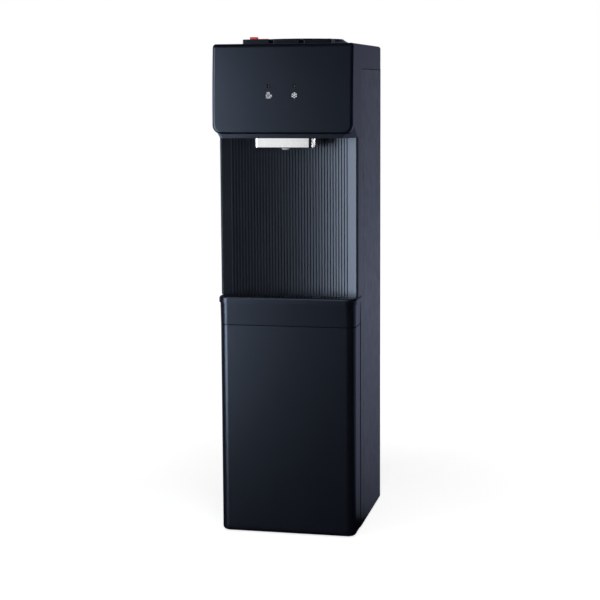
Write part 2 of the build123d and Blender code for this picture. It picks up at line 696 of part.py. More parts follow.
for water, x in zip(waters, valve_xs):
    with BuildPart() as button:
        add(block(button_width, (button_front_y, button_front_y + button_length),
                  (button_base_z, button_top_z), x))
        fillet(button.edges().filter_by(Axis.Z), 2.5)
        fillet(button.faces().sort_by(Axis.Z)[-1].edges(), button_round)
        add(block(button_width - 2 * button_skin,
                  (button_front_y + button_skin, button_front_y + button_length - button_skin),
                  (button_base_z - 1, button_top_z - button_skin), x), mode=Mode.SUBTRACT)
        # pad over the push rod
        add(upright(x, valve_y, pad_z, 4.0, button_top_z - button_skin / 2 - pad_z))
        # two hinge ears inside the rear wall
        for ear_x in (x - button_width / 2 + 8, x + button_width / 2 - 8):
            add(block(5, (hinge_y - lug_radius, hinge_y + lug_radius), (hinge_z, button_top_z - 1), ear_x))
            add(crosswise(ear_x, hinge_y, hinge_z, lug_radius, 5))
        add(crosswise(x, hinge_y, hinge_z, shaft_radius + running, button_width + 2), mode=Mode.SUBTRACT)
        if water == "hot":
            # track for the child lock in the button's top
            add(block(lock_travel + lock_plate + 2 * gap, (lock_y_range[0] - gap, lock_y_range[1] + gap),
                      (button_top_z - 1.0, button_top_z + 1), lock_left_x + (lock_plate - lock_travel) / 2),
                mode=Mode.SUBTRACT)
    button.part.label = f"button_{water}"
    export_step(button.part, f"parts/button_{water}.step")

    with BuildPart() as pushrod:
        add(turned([(0, seal_z + seal_thickness), (plunger_radius, seal_z + seal_thickness),
                    (plunger_radius, valve_top_z + 2), (rod_radius, valve_top_z + 4),
                    (rod_radius, spring_seat_z), (spring_radius + 1, spring_seat_z),
                    (spring_radius + 1, spring_seat_z + 2), (rod_radius, spring_seat_z + 2),
                    (rod_radius, rod_tip_z - 1.6), (rod_radius * 0.6, rod_tip_z - 0.4), (0, rod_tip_z)],
                   x, valve_y))
    pushrod.part.label = f"pushrod_{water}"
    export_step(pushrod.part, f"parts/pushrod_{water}.step")

    with BuildPart() as valve_seal:
        add(turned([(0, seal_z + 1), (2.5, seal_z), (plunger_radius, seal_z + 1),
                    (plunger_radius, seal_z + seal_thickness), (0, seal_z + seal_thickness)], x, valve_y))
    valve_seal.part.label = f"valve_seal_{water}"
    export_step(valve_seal.part, f"parts/valve_seal_{water}.step")

    spring_height = spring_seat_z - valve_top_z - 2 * spring_wire - 0.1
    with BuildPart() as valve_spring:
        with BuildLine():
            coil = Helix(spring_height / spring_coils, spring_height, spring_radius,
                         center=(x, valve_y, valve_top_z + spring_wire + 0.05))
        with BuildSketch(Plane(origin=coil @ 0, z_dir=coil % 0)):
            RegularPolygon(spring_wire, 6)
        sweep(is_frenet=True)
    valve_spring.part.label = f"valve_spring_{water}"
    export_step(valve_spring.part, f"parts/valve_spring_{water}.step")

with BuildPart() as button_shaft:
    add(crosswise(0, hinge_y, hinge_z, shaft_radius, 3 * button_pitch + lug_width + 2))
button_shaft.part.label = "button_shaft"
export_step(button_shaft.part, "parts/button_shaft.step")

guide_z = spring_seat_z + guide_rise
guide_y_range = (valve_y - guide_half_depth, valve_y + guide_half_depth)
with BuildPart() as rod_guide:
    add(block(head_width - 2 * wall - 2 * gap, guide_y_range, (guide_z, guide_z + guide_plate)))
    for x in valve_xs:
        add(upright(x, valve_y, guide_z - guide_boss, 2 * rod_radius, guide_plate + guide_boss))
    for x in valve_xs:
        add(upright(x, valve_y, guide_z - 2 * guide_boss, rod_radius + running, 5 * guide_boss),
            mode=Mode.SUBTRACT)
rod_guide.part.label = "rod_guide"
export_step(rod_guide.part, "parts/rod_guide.step")

# ---------------------------------------------------------------- child lock
with BuildPart() as child_lock:
    add(block(lock_plate, lock_y_range, (button_top_z - 1.0 + 0.05, button_top_z + 1.0),
              lock_left_x + lock_plate / 2))
    add(block(lock_tab, (lock_y_range[0] + 1, lock_y_range[1] - 1), (button_top_z, button_top_z + lock_height),
              lock_left_x + lock_tab / 2))
    fillet(child_lock.faces().sort_by(Axis.Z)[-1].edges(), 1.5)
child_lock.part.label = "child_lock"
export_step(child_lock.part, "parts/child_lock.step")

# ================================================================ bottle seat and water circuit
collar_rim_z = deck_z + collar_height
bowl_floor_z = collar_rim_z - bowl_depth
socket_bottom_z = bowl_floor_z - socket_length
cold_tank_z = socket_bottom_z - 10.0 - cold_tank_height + 5.0
neck_bore = socket_radius + wall + 1.2

with BuildPart() as bottle_collar:
    with BuildSketch(Plane(origin=(0, bottle_y, 0), x_dir=(1, 0, 0), z_dir=(0, -1, 0))):
        with BuildLine():
            foot_edge = Line((deck_hole_radius - gap, deck_z), (collar_foot_radius, deck_z))
            side_edge = Line(foot_edge @ 1, (collar_foot_radius, deck_z + 2))
            flare = ThreePointArc(side_edge @ 1,
                                  (collar_rim_radius + 7, deck_z + collar_height * 0.62),
                                  (collar_rim_radius, collar_rim_z))
            rim = ThreePointArc(flare @ 1, (collar_rim_radius - 2.5, collar_rim_z - 0.6),
                                (collar_rim_radius - 4.5, collar_rim_z - 3))
            bowl = ThreePointArc(rim @ 1, (collar_rim_radius - 20, collar_rim_z - bowl_depth * 0.55),
                                 (socket_radius + 6, bowl_floor_z + 2))
            throat = ThreePointArc(bowl @ 1, (socket_radius + 1.6, bowl_floor_z + 0.4),
                                   (socket_radius, bowl_floor_z - 3))
            Polyline(throat @ 1, (socket_radius, socket_bottom_z), (socket_radius + wall, socket_bottom_z),
                     (socket_radius + wall, bowl_floor_z - 5))
            under = ThreePointArc((socket_radius + wall, bowl_floor_z - 5),
                                  (collar_rim_radius - 21, collar_rim_z - bowl_depth * 0.55 - 4),
                                  (collar_rim_radius - 2, deck_z - 4))
            Polyline(under @ 1, (deck_hole_radius - gap, deck_z - 4), foot_edge @ 0)
        make_face()
    revolve(axis=Axis((0, bottle_y, 0), (0, 0, 1)))
bottle_collar.part.label = "bottle_collar"
export_step(bottle_collar.part, "parts/bottle_collar.step")

with BuildPart() as collar_seal:
    seal_low = socket_bottom_z + 4.0
    add(turned([(socket_radius + wall + 0.05, seal_low), (neck_bore - 0.05, seal_low + 1),
                (neck_bore - 0.05, seal_low + 4), (socket_radius + wall + 0.05, seal_low + 5)], 0, bottle_y))
collar_seal.part.label = "collar_seal"
export_step(collar_seal.part, "parts/collar_seal.step")

tank_top_z = cold_tank_z + cold_tank_height
neck_height = 16.0
ambient_port_z = tank_top_z - 15.0
cold_port_z = cold_tank_z + 12.0
cold_port_x = 45.0

with BuildPart() as cold_tank:
    add(turned([(0, cold_tank_z), (cold_tank_radius - 6, cold_tank_z), (cold_tank_radius, cold_tank_z + 6),
                (cold_tank_radius, tank_top_z - 6), (cold_tank_radius - 6, tank_top_z),
                (neck_bore + tank_wall, tank_top_z), (neck_bore + tank_wall, tank_top_z + neck_height),
                (neck_bore, tank_top_z + neck_height), (neck_bore, tank_top_z - tank_wall),
                (cold_tank_radius - 6.5, tank_top_z - tank_wall), (cold_tank_radius - tank_wall, tank_top_z - 6.5),
                (cold_tank_radius - tank_wall, cold_tank_z + 6.5), (cold_tank_radius - 6.5, cold_tank_z + tank_wall),
                (0, cold_tank_z + tank_wall)], 0, bottle_y))
    # baffle that keeps the warm feed above the chilled water
    add(turned([(12, ambient_port_z - 14), (cold_tank_radius - tank_wall / 2, ambient_port_z - 14),
                (cold_tank_radius - tank_wall / 2, ambient_port_z - 12), (12, ambient_port_z - 12)], 0, bottle_y))
cold_tank.part.label = "cold_tank"
export_step(cold_tank.part, "parts/cold_tank.step")

coil_radius = cold_tank_radius + coil_tube + gap
coil_z = cold_port_z + 16.0
with BuildPart() as evaporator_coil:
    with BuildLine():
        winding = Helix(coil_pitch, coil_pitch * coil_turns, coil_radius, center=(0, bottle_y, coil_z))
    with BuildSketch(Plane(origin=winding @ 0, z_dir=winding % 0)):
        RegularPolygon(coil_tube, 8)
    sweep(is_frenet=True)
evaporator_coil.part.label = "evaporator_coil"
export_step(evaporator_coil.part, "parts/evaporator_coil.step")

insulation_z = cold_tank_z - insulation_floor
cavity_radius = coil_radius + coil_tube + 1.0
with BuildPart() as cold_insulation:
    add(block(insulation_width, (bottle_y - insulation_width / 2, bottle_y + insulation_width / 2),
              (insulation_z, tank_top_z + 6)))
    fillet(cold_insulation.edges().filter_by(Axis.Z), 20)
    add(upright(0, bottle_y, cold_tank_z, cavity_radius, cold_tank_height + 20), mode=Mode.SUBTRACT)
    add(rearward(0, bottle_y - 100, ambient_port_z, hose_radius + gap, 60), mode=Mode.SUBTRACT)
    add(rearward(cold_port_x, bottle_y - 100, cold_port_z, hose_radius + gap, 70), mode=Mode.SUBTRACT)
    add(upright(0, bottle_y + 20, insulation_z - 1, hose_radius + gap, insulation_floor + 2), mode=Mode.SUBTRACT)
cold_insulation.part.label = "cold_insulation"
export_step(cold_insulation.part, "parts/cold_insulation.step")

# ---------------------------------------------------------------- shelves
shelf_width = cabinet_width - 2 * sheet - 2 * gap
mid_shelf_z = tray_z + 8.0
tank_shelf_z = insulation_z - shelf_sheet
shelf_back_y = back_panel_y - sheet - gap


def shelf(z, front_y, holes):
    """A folded steel shelf with flanges turned down along its two sides."""
    with BuildPart() as folded:
        add(block(shelf_width, (front_y, shelf_back_y), (z - shelf_flange, z + shelf_sheet)))
        add(block(shelf_width - 2 * shelf_sheet, (front_y - 1, shelf_back_y + 1), (z - shelf_flange - 1, z)),
            mode=Mode.SUBTRACT)
        for x, y, radius in holes:
            add(upright(x, y, z - 1, radius, 4), mode=Mode.SUBTRACT)
    return folded.part


hot_y = bottle_y
feed_x = hot_tank_radius + 28.0
suction_x = 70.0
suction_y = bottle_y + 62.0
leg_y = back_panel_y - sheet - 12.0
riser_x = condenser_width / 2
riser_y = leg_y - riser_setback
pipe_radius = 3.0
pipe_holes = [(-suction_x, suction_y, pipe_radius + 1), (suction_x, suction_y, pipe_radius + 1)]
with BuildPart() as mid_shelf:
    add(shelf(mid_shelf_z, plastic_y + sheet + 2,
              pipe_holes + [(0, hot_y, hose_radius + 1), (riser_x, riser_y, pipe_radius + 1)]))
mid_shelf.part.label = "mid_shelf"
export_step(mid_shelf.part, "parts/mid_shelf.step")

with BuildPart() as tank_shelf:
    add(shelf(tank_shelf_z, bottle_y - insulation_width / 2,
              pipe_holes + [(0, bottle_y + 20, hose_radius + 1)]))
tank_shelf.part.label = "tank_shelf"
export_step(tank_shelf.part, "parts/tank_shelf.step")

# ---------------------------------------------------------------- hot tank
hot_floor_z = mid_shelf_z + shelf_sheet
hot_tank_z = hot_floor_z + hot_stand_height
hot_top_z = hot_tank_z + hot_tank_height
feed_port_z = hot_tank_z + 13.0
jacket_z = feed_port_z + 10.0

with BuildPart() as hot_tank:
    add(turned([(0, hot_tank_z), (hot_tank_radius - 5, hot_tank_z), (hot_tank_radius, hot_tank_z + 5),
                (hot_tank_radius, hot_top_z - 5), (hot_tank_radius - 5, hot_top_z), (0, hot_top_z)], 0, hot_y))
    inner_radius = hot_tank_radius - tank_wall
    add(upright(0, hot_y, hot_tank_z + tank_wall, inner_radius - 3, hot_tank_height - 2 * tank_wall),
        mode=Mode.SUBTRACT)
    add(upright(0, hot_y, hot_tank_z - 8, hose_radius, 10))
    add(upright(0, hot_y, hot_tank_z - 9, hose_radius - 1.5, 14), mode=Mode.SUBTRACT)
hot_tank.part.label = "hot_tank"
export_step(hot_tank.part, "parts/hot_tank.step")

with BuildPart() as hot_tank_stand:
    add(turned([(hot_tank_radius - 6, hot_floor_z), (hot_tank_radius + 8, hot_floor_z),
                (hot_tank_radius + 8, hot_floor_z + 1.5), (hot_tank_radius - 4.5, hot_floor_z + 1.5),
                (hot_tank_radius - 4.5, hot_tank_z), (hot_tank_radius - 6, hot_tank_z)], 0, hot_y))
hot_tank_stand.part.label = "hot_tank_stand"
export_step(hot_tank_stand.part, "parts/hot_tank_stand.step")

with BuildPart() as hot_jacket:
    add(upright(0, hot_y, jacket_z, hot_jacket_radius, hot_top_z - jacket_z))
    fillet(hot_jacket.edges().group_by(Axis.Z)[-1], 4)
    add(upright(0, hot_y, jacket_z - 1, hot_tank_radius + gap, hot_top_z - jacket_z + 2), mode=Mode.SUBTRACT)
hot_jacket.part.label = "hot_jacket"
export_step(hot_jacket.part, "parts/hot_jacket.step")

with BuildPart() as hot_thermostats:
    for x in (-24, 24):
        add(upright(x, hot_y, hot_top_z, 9, 7))
        add(block(3, (hot_y - 6, hot_y + 6), (hot_top_z + 7, hot_top_z + 15), x))
hot_thermostats.part.label = "hot_thermostats"
export_step(hot_thermostats.part, "parts/hot_thermostats.step")


# ================================================================ steel skin
# ---------------------------------------------------------------- side sheets
flange = 14.0
sheet_front_y = plastic_y + gap
sheet_top_z = skirt_z - seam
screw_x = side_x - 8.0
screw_zs = [base_z + 30 + (sheet_top_z - base_z - 60) * step / 4 for step in range(5)]
bead_y = cover_y + 102.0

for side, name in ((-1, "side_panel_left"), (1, "side_panel_right")):
    with BuildPart() as side_panel:
        with BuildSketch(Plane.XY.offset(base_z)) as channel:
            with Locations((side * (side_x - flange / 2), (sheet_front_y + rear_y) / 2)):
                Rectangle(flange, rear_y - sheet_front_y)
            outer_corners = channel.vertices().filter_by(lambda v: abs(v.X) > side_x - 1)
            fillet(outer_corners.group_by(Axis.Y)[-1], 3.0)
            fillet(channel.vertices().filter_by(lambda v: abs(v.X) > side_x - 1).group_by(Axis.Y)[0], 0.6)
            with Locations((side * (side_x - flange / 2 - sheet), (sheet_front_y + rear_y) / 2)):
                Rectangle(flange, rear_y - sheet_front_y - 2 * sheet, mode=Mode.SUBTRACT)
        extrude(amount=sheet_top_z - base_z)
        # the head's cheek takes the front upper corner
        add(block(4 * flange, (sheet_front_y - 1, cheek_y + gap), (head_z - seam, sheet_top_z + 1),
                  side * side_x), mode=Mode.SUBTRACT)
        # the front flange stands on the base pan
        add(block(2 * flange, (sheet_front_y - 1, sheet_front_y + 2 * sheet), (base_z - 1, base_z + pan_height + gap),
                  side * (side_x - sheet - flange)), mode=Mode.SUBTRACT)
        # shallow pressed bead down the sheet
        add(block(2, (bead_y, bead_y + 1.2), (base_z - 1, sheet_top_z + 1), side * (side_x + 0.6)),
            mode=Mode.SUBTRACT)
        for z in screw_zs:
            add(rearward(side * screw_x, rear_y - 3, z, screw_radius + 0.2, 5), mode=Mode.SUBTRACT)
    side_panel.part.label = name
    export_step(side_panel.part, f"parts/{name}.step")

# ---------------------------------------------------------------- back panel
back_x = side_x - sheet - gap
panel_front_y = back_panel_y - sheet
switch_x = side_x - 55.0
switch_z = sheet_top_z - 62.0
service_z = base_z + 75.0
service_x = side_x - 52.0
drain_radius = 7.0
gland_radius = 8.0
vent_pitch = 9.0
rocker_width = 13.0
rocker_radius = 10.5
rocker_gap = 3.0
bezel_width = 2 * rocker_width + rocker_gap + 14.0
bezel_height = 2 * rocker_radius + 12.0
box_depth = 16.0

with BuildPart() as back_panel:
    add(block(2 * back_x, (panel_front_y, back_panel_y), (base_z + 1, sheet_top_z - 0.5)))
    with BuildSketch(Plane(origin=(0, back_panel_y + 1, base_z), x_dir=(-1, 0, 0), z_dir=(0, 1, 0))):
        for vent_z in (110.0, sheet_top_z - base_z - 150):
            with Locations((0, vent_z)):
                with GridLocations(74, vent_pitch, 3, 5):
                    SlotOverall(60, 3.2)
        with Locations((switch_x, switch_z - base_z)):
            Rectangle(bezel_width - 8, bezel_height - 8)
        with Locations((-service_x, service_z - base_z)):
            Circle(drain_radius + gap)
        with Locations((service_x, service_z - base_z)):
            Circle(gland_radius + gap)
        with Locations((condenser_width / 2, condenser_base),
                       (-condenser_width / 2, condenser_base + (condenser_rows - 1) * condenser_pitch)):
            Circle(condenser_tube_radius + 1)
        for z in screw_zs:
            with Locations((-screw_x, z - base_z), (screw_x, z - base_z)):
                Circle(screw_radius + 0.2)
    extrude(amount=-(sheet + 2), mode=Mode.SUBTRACT)
back_panel.part.label = "back_panel"
export_step(back_panel.part, "parts/back_panel.step")

with BuildPart() as back_screws:
    for z in screw_zs:
        for x in (-screw_x, screw_x):
            add(turned([(0, -screw_length), (screw_radius - 0.6, 1 - screw_length),
                        (screw_radius, 2 - screw_length), (screw_radius, 0), (screw_head_radius, 0),
                        (screw_head_radius, screw_head_height / 2),
                        (screw_head_radius - screw_head_height / 2, screw_head_height - 0.2),
                        (0, screw_head_height)], 0, 0).moved(Location((x, rear_y, z), (-90, 0, 0))))
back_screws.part.label = "back_screws"
export_step(back_screws.part, "parts/back_screws.step")

# ---------------------------------------------------------------- switches
pivot_y = back_panel_y - 2.0
bezel_y = back_panel_y + 2.0
rocker_travel = 20.0
rocker_face = 4.6               # pivot to the valley of the rocker's face
pivot_radius = 1.5
pivot_length = 1.0
rocker_xs = (-switch_x - (rocker_width + rocker_gap) / 2, -switch_x + (rocker_width + rocker_gap) / 2)

with BuildPart() as switch_plate:
    add(block(bezel_width, (back_panel_y, bezel_y), (switch_z - bezel_height / 2, switch_z + bezel_height / 2),
              -switch_x))
    chamfer(switch_plate.faces().sort_by(Axis.Y)[-1].edges(), 0.8)
    add(block(bezel_width - 8 - 2 * gap, (back_panel_y - box_depth, back_panel_y),
              (switch_z - bezel_height / 2 + 4 + gap, switch_z + bezel_height / 2 - 4 - gap), -switch_x))
    for x in rocker_xs:
        add(block(rocker_width + 2 * gap, (back_panel_y - box_depth + 2, bezel_y + 1),
                  (switch_z - rocker_radius - gap, switch_z + rocker_radius + gap), x), mode=Mode.SUBTRACT)
        add(crosswise(x, pivot_y, switch_z, pivot_radius + running, rocker_width + 2 * gap + 2 * pivot_length),
            mode=Mode.SUBTRACT)
switch_plate.part.label = "switch_plate"
export_step(switch_plate.part, "parts/switch_plate.step")

for name, x in zip(("rocker_cool", "rocker_heat"), rocker_xs):
    with BuildPart() as rocker:
        with BuildSketch(Plane(origin=(x - rocker_width / 2, pivot_y, switch_z), x_dir=(0, 1, 0),
                               z_dir=(1, 0, 0))):
            Circle(rocker_radius)
            # lower face flush and upper face raised, by twice the lean from the middle position
            rise = rocker_radius * tan(radians(rocker_travel))
            with BuildLine():
                Polyline((rocker_face, -2 * rocker_radius), (rocker_face, 0),
                         (rocker_face + 2 * rise, 2 * rocker_radius), (4 * rocker_radius, 2 * rocker_radius),
                         (4 * rocker_radius, -2 * rocker_radius), close=True)
            make_face(mode=Mode.SUBTRACT)
            with Locations((-1.5 * rocker_radius, 0)):
                Rectangle(1.8 * rocker_radius, 4 * rocker_radius, mode=Mode.SUBTRACT)
        extrude(amount=rocker_width)
        add(crosswise(x, pivot_y, switch_z, pivot_radius, rocker_width + 2 * pivot_length))
    rocker.part.label = name
    export_step(rocker.part, f"parts/{name}.step")

# ---------------------------------------------------------------- drain, cap and cord gland
spout_reach = 13.0
cap_radius = 11.0
with BuildPart() as drain_spout:
    add(rearward(service_x, back_panel_y - 14, service_z, drain_radius, 14 + spout_reach))
    add(rearward(service_x, panel_front_y - 4, service_z, drain_radius + 4, 4))
    add(rearward(service_x, back_panel_y - 15, service_z, drain_radius - 2.5, 30 + spout_reach),
        mode=Mode.SUBTRACT)
drain_spout.part.label = "drain_spout"
export_step(drain_spout.part, "parts/drain_spout.step")

with BuildPart() as drain_cap:
    add(rearward(service_x, back_panel_y + gap, service_z, cap_radius, spout_reach + 3))
    fillet(drain_cap.edges().group_by(Axis.Y)[-1], 1.5)
    with BuildSketch(Plane(origin=(service_x, back_panel_y, service_z), z_dir=(0, 1, 0))):
        with PolarLocations(cap_radius + 0.6, 12):
            Circle(1.4)
    extrude(amount=spout_reach + 8, mode=Mode.SUBTRACT)
    add(rearward(service_x, back_panel_y - 1, service_z, drain_radius + running, spout_reach + 1 + gap),
        mode=Mode.SUBTRACT)
drain_cap.part.label = "drain_cap"
export_step(drain_cap.part, "parts/drain_cap.step")

with BuildPart() as cord_gland:
    add(turned([(3.6, -8), (gland_radius, -8), (gland_radius, 0), (gland_radius + 3, 0), (gland_radius + 3, 2.5),
                (gland_radius, 3.5), (gland_radius - 1, 6), (5.4, 16), (3.6, 16)], 0, 0)
        .moved(Location((-service_x, back_panel_y, service_z), (-90, 0, 0))))
cord_gland.part.label = "cord_gland"
export_step(cord_gland.part, "parts/cord_gland.step")

# ================================================================ cooling circuit
# ---------------------------------------------------------------- compressor
pan_floor_z = base_z + pan_sheet
plate_z = pan_floor_z + grommet_height
compressor_top_z = plate_z + 4 + compressor_height
grommet_spots = [(sx * grommet_x, compressor_y + sy * grommet_y) for sx in (-1, 1) for sy in (-1, 1)]

with BuildPart() as compressor:
    add(block(2 * grommet_x + 24, (compressor_y - grommet_y - 12, compressor_y + grommet_y + 12),
              (plate_z, plate_z + 4)))
    fillet(compressor.edges().filter_by(Axis.Z), 12)
    add(turned([(0, plate_z + 1), (compressor_radius - 12, plate_z + 1), (compressor_radius - 4, plate_z + 12),
                (compressor_radius, plate_z + 30), (compressor_radius, plate_z + 88),
                (compressor_radius + 3, plate_z + 90), (compressor_radius + 3, plate_z + 95),
                (compressor_radius, plate_z + 97), (compressor_radius - 5, compressor_top_z - 30),
                (compressor_radius - 20, compressor_top_z - 10), (compressor_radius - 42, compressor_top_z),
                (0, compressor_top_z)], 0, compressor_y))
    add(upright(0, compressor_y, plate_z + 12, compressor_radius - 12, 84), mode=Mode.SUBTRACT)
    for x in (-30, 30):
        add(upright(x, compressor_y, plate_z + 60, 3.2, compressor_height), mode=Mode.SUBTRACT)
    for x, y in grommet_spots:
        add(upright(x, y, plate_z - 1, 5.2, 6), mode=Mode.SUBTRACT)
compressor.part.label = "compressor"
export_step(compressor.part, "parts/compressor.step")

with BuildPart() as compressor_grommets:
    for x, y in grommet_spots:
        add(turned([(0, pan_floor_z), (grommet_radius, pan_floor_z), (grommet_radius - 1.5, pan_floor_z + 9),
                    (grommet_radius, plate_z), (5.0, plate_z), (5.0, plate_z + 6), (0, plate_z + 6)], x, y))
compressor_grommets.part.label = "compressor_grommets"
export_step(compressor_grommets.part, "parts/compressor_grommets.step")

relay_width = 34.0
relay_x = -compressor_radius - relay_width / 2 + 6.0
with BuildPart() as relay_cover:
    add(block(relay_width, (compressor_y - 22, compressor_y + 22), (plate_z + 34, plate_z + 86), relay_x))
    fillet(relay_cover.edges().filter_by(Axis.X), 4)
    add(block(relay_width - 4, (compressor_y - 20, compressor_y + 20), (plate_z + 36, plate_z + 84), relay_x + 3),
        mode=Mode.SUBTRACT)
    add(upright(0, compressor_y, plate_z, compressor_radius + gap, compressor_height), mode=Mode.SUBTRACT)
relay_cover.part.label = "relay_cover"
export_step(relay_cover.part, "parts/relay_cover.step")

# ---------------------------------------------------------------- condenser
tube_y = rear_y + condenser_reach - 2 * condenser_wire_radius - wire_clearance - condenser_tube_radius
condenser_z = base_z + condenser_base
condenser_top_z = condenser_z + (condenser_rows - 1) * condenser_pitch
half_run = condenser_width / 2
bend = condenser_pitch / 2 - 0.5
condenser_points = [(-half_run, leg_y, condenser_z), (-half_run, tube_y, condenser_z)]
for row in range(condenser_rows):
    row_z = condenser_z + row * condenser_pitch
    row_start, row_end = (-half_run, half_run) if row % 2 == 0 else (half_run, -half_run)
    if row:
        condenser_points.append((row_start, tube_y, row_z))
    condenser_points.append((row_end, tube_y, row_z))
inlet_x = half_run if condenser_rows % 2 else -half_run
condenser_points.append((inlet_x, leg_y, condenser_top_z))

with BuildPart() as condenser_tube:
    with BuildLine() as serpentine:
        FilletPolyline(*condenser_points, radius=bend)
    with BuildSketch(Plane(origin=serpentine.line @ 0, z_dir=serpentine.line % 0)):
        RegularPolygon(condenser_tube_radius, 10)
    sweep()
condenser_tube.part.label = "condenser_tube"
export_step(condenser_tube.part, "parts/condenser_tube.step")

wire_overhang = 15.0
wire_spread = condenser_width - 2 * bend - 20.0
wire_offset = condenser_tube_radius + condenser_wire_radius + wire_clearance
with BuildPart() as condenser_wires:
    for wire in range(condenser_wire_count):
        wire_x = (wire / (condenser_wire_count - 1) - 0.5) * wire_spread
        wire_y = tube_y + (wire_offset if wire % 2 else -wire_offset)
        add(upright(wire_x, wire_y, condenser_z - wire_overhang, condenser_wire_radius,
                    condenser_top_z - condenser_z + 2 * wire_overhang))
condenser_wires.part.label = "condenser_wires"
export_step(condenser_wires.part, "parts/condenser_wires.step")

clip_x = wire_spread / 2 + condenser_wire_radius + 5.0
with BuildPart() as condenser_clips:
    for row in (1, condenser_rows - 2):
        clip_z = condenser_z + row * condenser_pitch
        for x in (-clip_x, clip_x):
            add(block(7, (back_panel_y, tube_y + condenser_tube_radius + 1.2),
                      (clip_z - condenser_tube_radius - 1.5, clip_z + condenser_tube_radius + 1.5), x))
            add(block(7, (back_panel_y, back_panel_y + 1.5), (clip_z - 12, clip_z + 12), x))
            add(crosswise(x, tube_y, clip_z, condenser_tube_radius + running, 9), mode=Mode.SUBTRACT)
condenser_clips.part.label = "condenser_clips"
export_step(condenser_clips.part, "parts/condenser_clips.step")

# ---------------------------------------------------------------- refrigerant line
port_z = compressor_top_z - 25.0
drier_x = -half_run
drier_y = leg_y - 32.0
drier_z = condenser_z + 45.0
drier_length = 90.0

with BuildPart() as refrigerant_line:
    # suction, from the cold tank's coil down to the compressor
    add(tube([(30, compressor_y, port_z), (30, compressor_y, compressor_top_z + 25),
              (suction_x, suction_y, compressor_top_z + 70), (suction_x, suction_y, insulation_z)],
             12, pipe_radius))
    # discharge, from the compressor up to the condenser's inlet
    add(tube([(-30, compressor_y, port_z), (-30, compressor_y, compressor_top_z + 45),
              (riser_x, riser_y, compressor_top_z + 75), (riser_x, riser_y, condenser_top_z),
              (riser_x, leg_y, condenser_top_z)], 12, condenser_tube_radius))
    # drier on the condenser's outlet, and the capillary up to the coil
    add(tube([(drier_x, leg_y, condenser_z), (drier_x, drier_y, condenser_z), (drier_x, drier_y, drier_z)],
             12, condenser_tube_radius))
    add(turned([(0, drier_z - 2), (3.5, drier_z - 2), (9, drier_z + 8), (9, drier_z + drier_length - 8),
                (3, drier_z + drier_length), (0, drier_z + drier_length)], drier_x, drier_y))
    add(tube([(drier_x, drier_y, drier_z + drier_length - 2), (drier_x, drier_y, drier_z + drier_length + 30),
              (-suction_x, suction_y, drier_z + drier_length + 80), (-suction_x, suction_y, insulation_z)],
             12, 1.2))
refrigerant_line.part.label = "refrigerant_line"
export_step(refrigerant_line.part, "parts/refrigerant_line.step")

# ---------------------------------------------------------------- hoses
barb_y = valve_y_range[1] + barb_length
barb_z = bar_z + bar_height / 2
hose_y = cover_y + 84.0
cold_port_y = bottle_y - sqrt(cold_tank_radius ** 2 - (cold_port_x - hose_radius) ** 2)
drain_hose_top_z = hot_tank_z - 8.0

hose_routes = [
    # hot water, from the top of the hot tank
    ([(0, hot_y, hot_top_z), (0, hot_y, hot_top_z + 50), (valve_xs[0], hose_y, hot_top_z + 90),
      (valve_xs[0], hose_y, barb_z), (valve_xs[0], barb_y, barb_z)], 14),
    # ambient water, from above the baffle
    ([(0, bottle_y - cold_tank_radius, ambient_port_z), (0, hose_y, ambient_port_z), (0, hose_y, barb_z),
      (0, barb_y, barb_z)], 14),
    # cold water, from the foot of the cold tank
    ([(cold_port_x, cold_port_y, cold_port_z), (cold_port_x, hose_y, cold_port_z),
      (valve_xs[2], hose_y - 4, barb_z), (valve_xs[2], barb_y, barb_z)], 10),
    # feed from the cold tank to the hot tank
    ([(0, bottle_y + 20, cold_tank_z), (0, bottle_y + 20, insulation_z - 40), (feed_x, hot_y + 12, hot_top_z + 40),
      (feed_x, hot_y, feed_port_z), (hot_tank_radius, hot_y, feed_port_z)], 14),
    # drain
    ([(0, hot_y, drain_hose_top_z), (0, hot_y, drain_hose_top_z - 45), (service_x, hot_y + 20, tray_z - 80),
      (service_x, hot_y + 30, service_z), (service_x, back_panel_y - 14, service_z)], 16),
]
with BuildPart() as water_hoses:
    for points, hose_bend in hose_routes:
        add(tube(points, hose_bend, hose_radius))
water_hoses.part.label = "water_hoses"
export_step(water_hoses.part, "parts/water_hoses.step")
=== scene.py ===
# %% [markdown]
# # Dressing a floor-standing water dispenser
# The solid pieces arrive finished from the CAD model: every cover, button and hose at its real size. This
# lesson gives them their finishes, prints two small signs on the front, lays black strips of painted shade in
# the joints, adds the foot skirt and sets up the studio. No solid piece is moved or reshaped. Only the three
# valve springs are stood in for, by copies of their own meshes. Everything is in metres, +Z up, with +Y towards
# the back.

# %% Load the frame
import json
import math

import bmesh
import bpy
from mathutils import Matrix, Vector


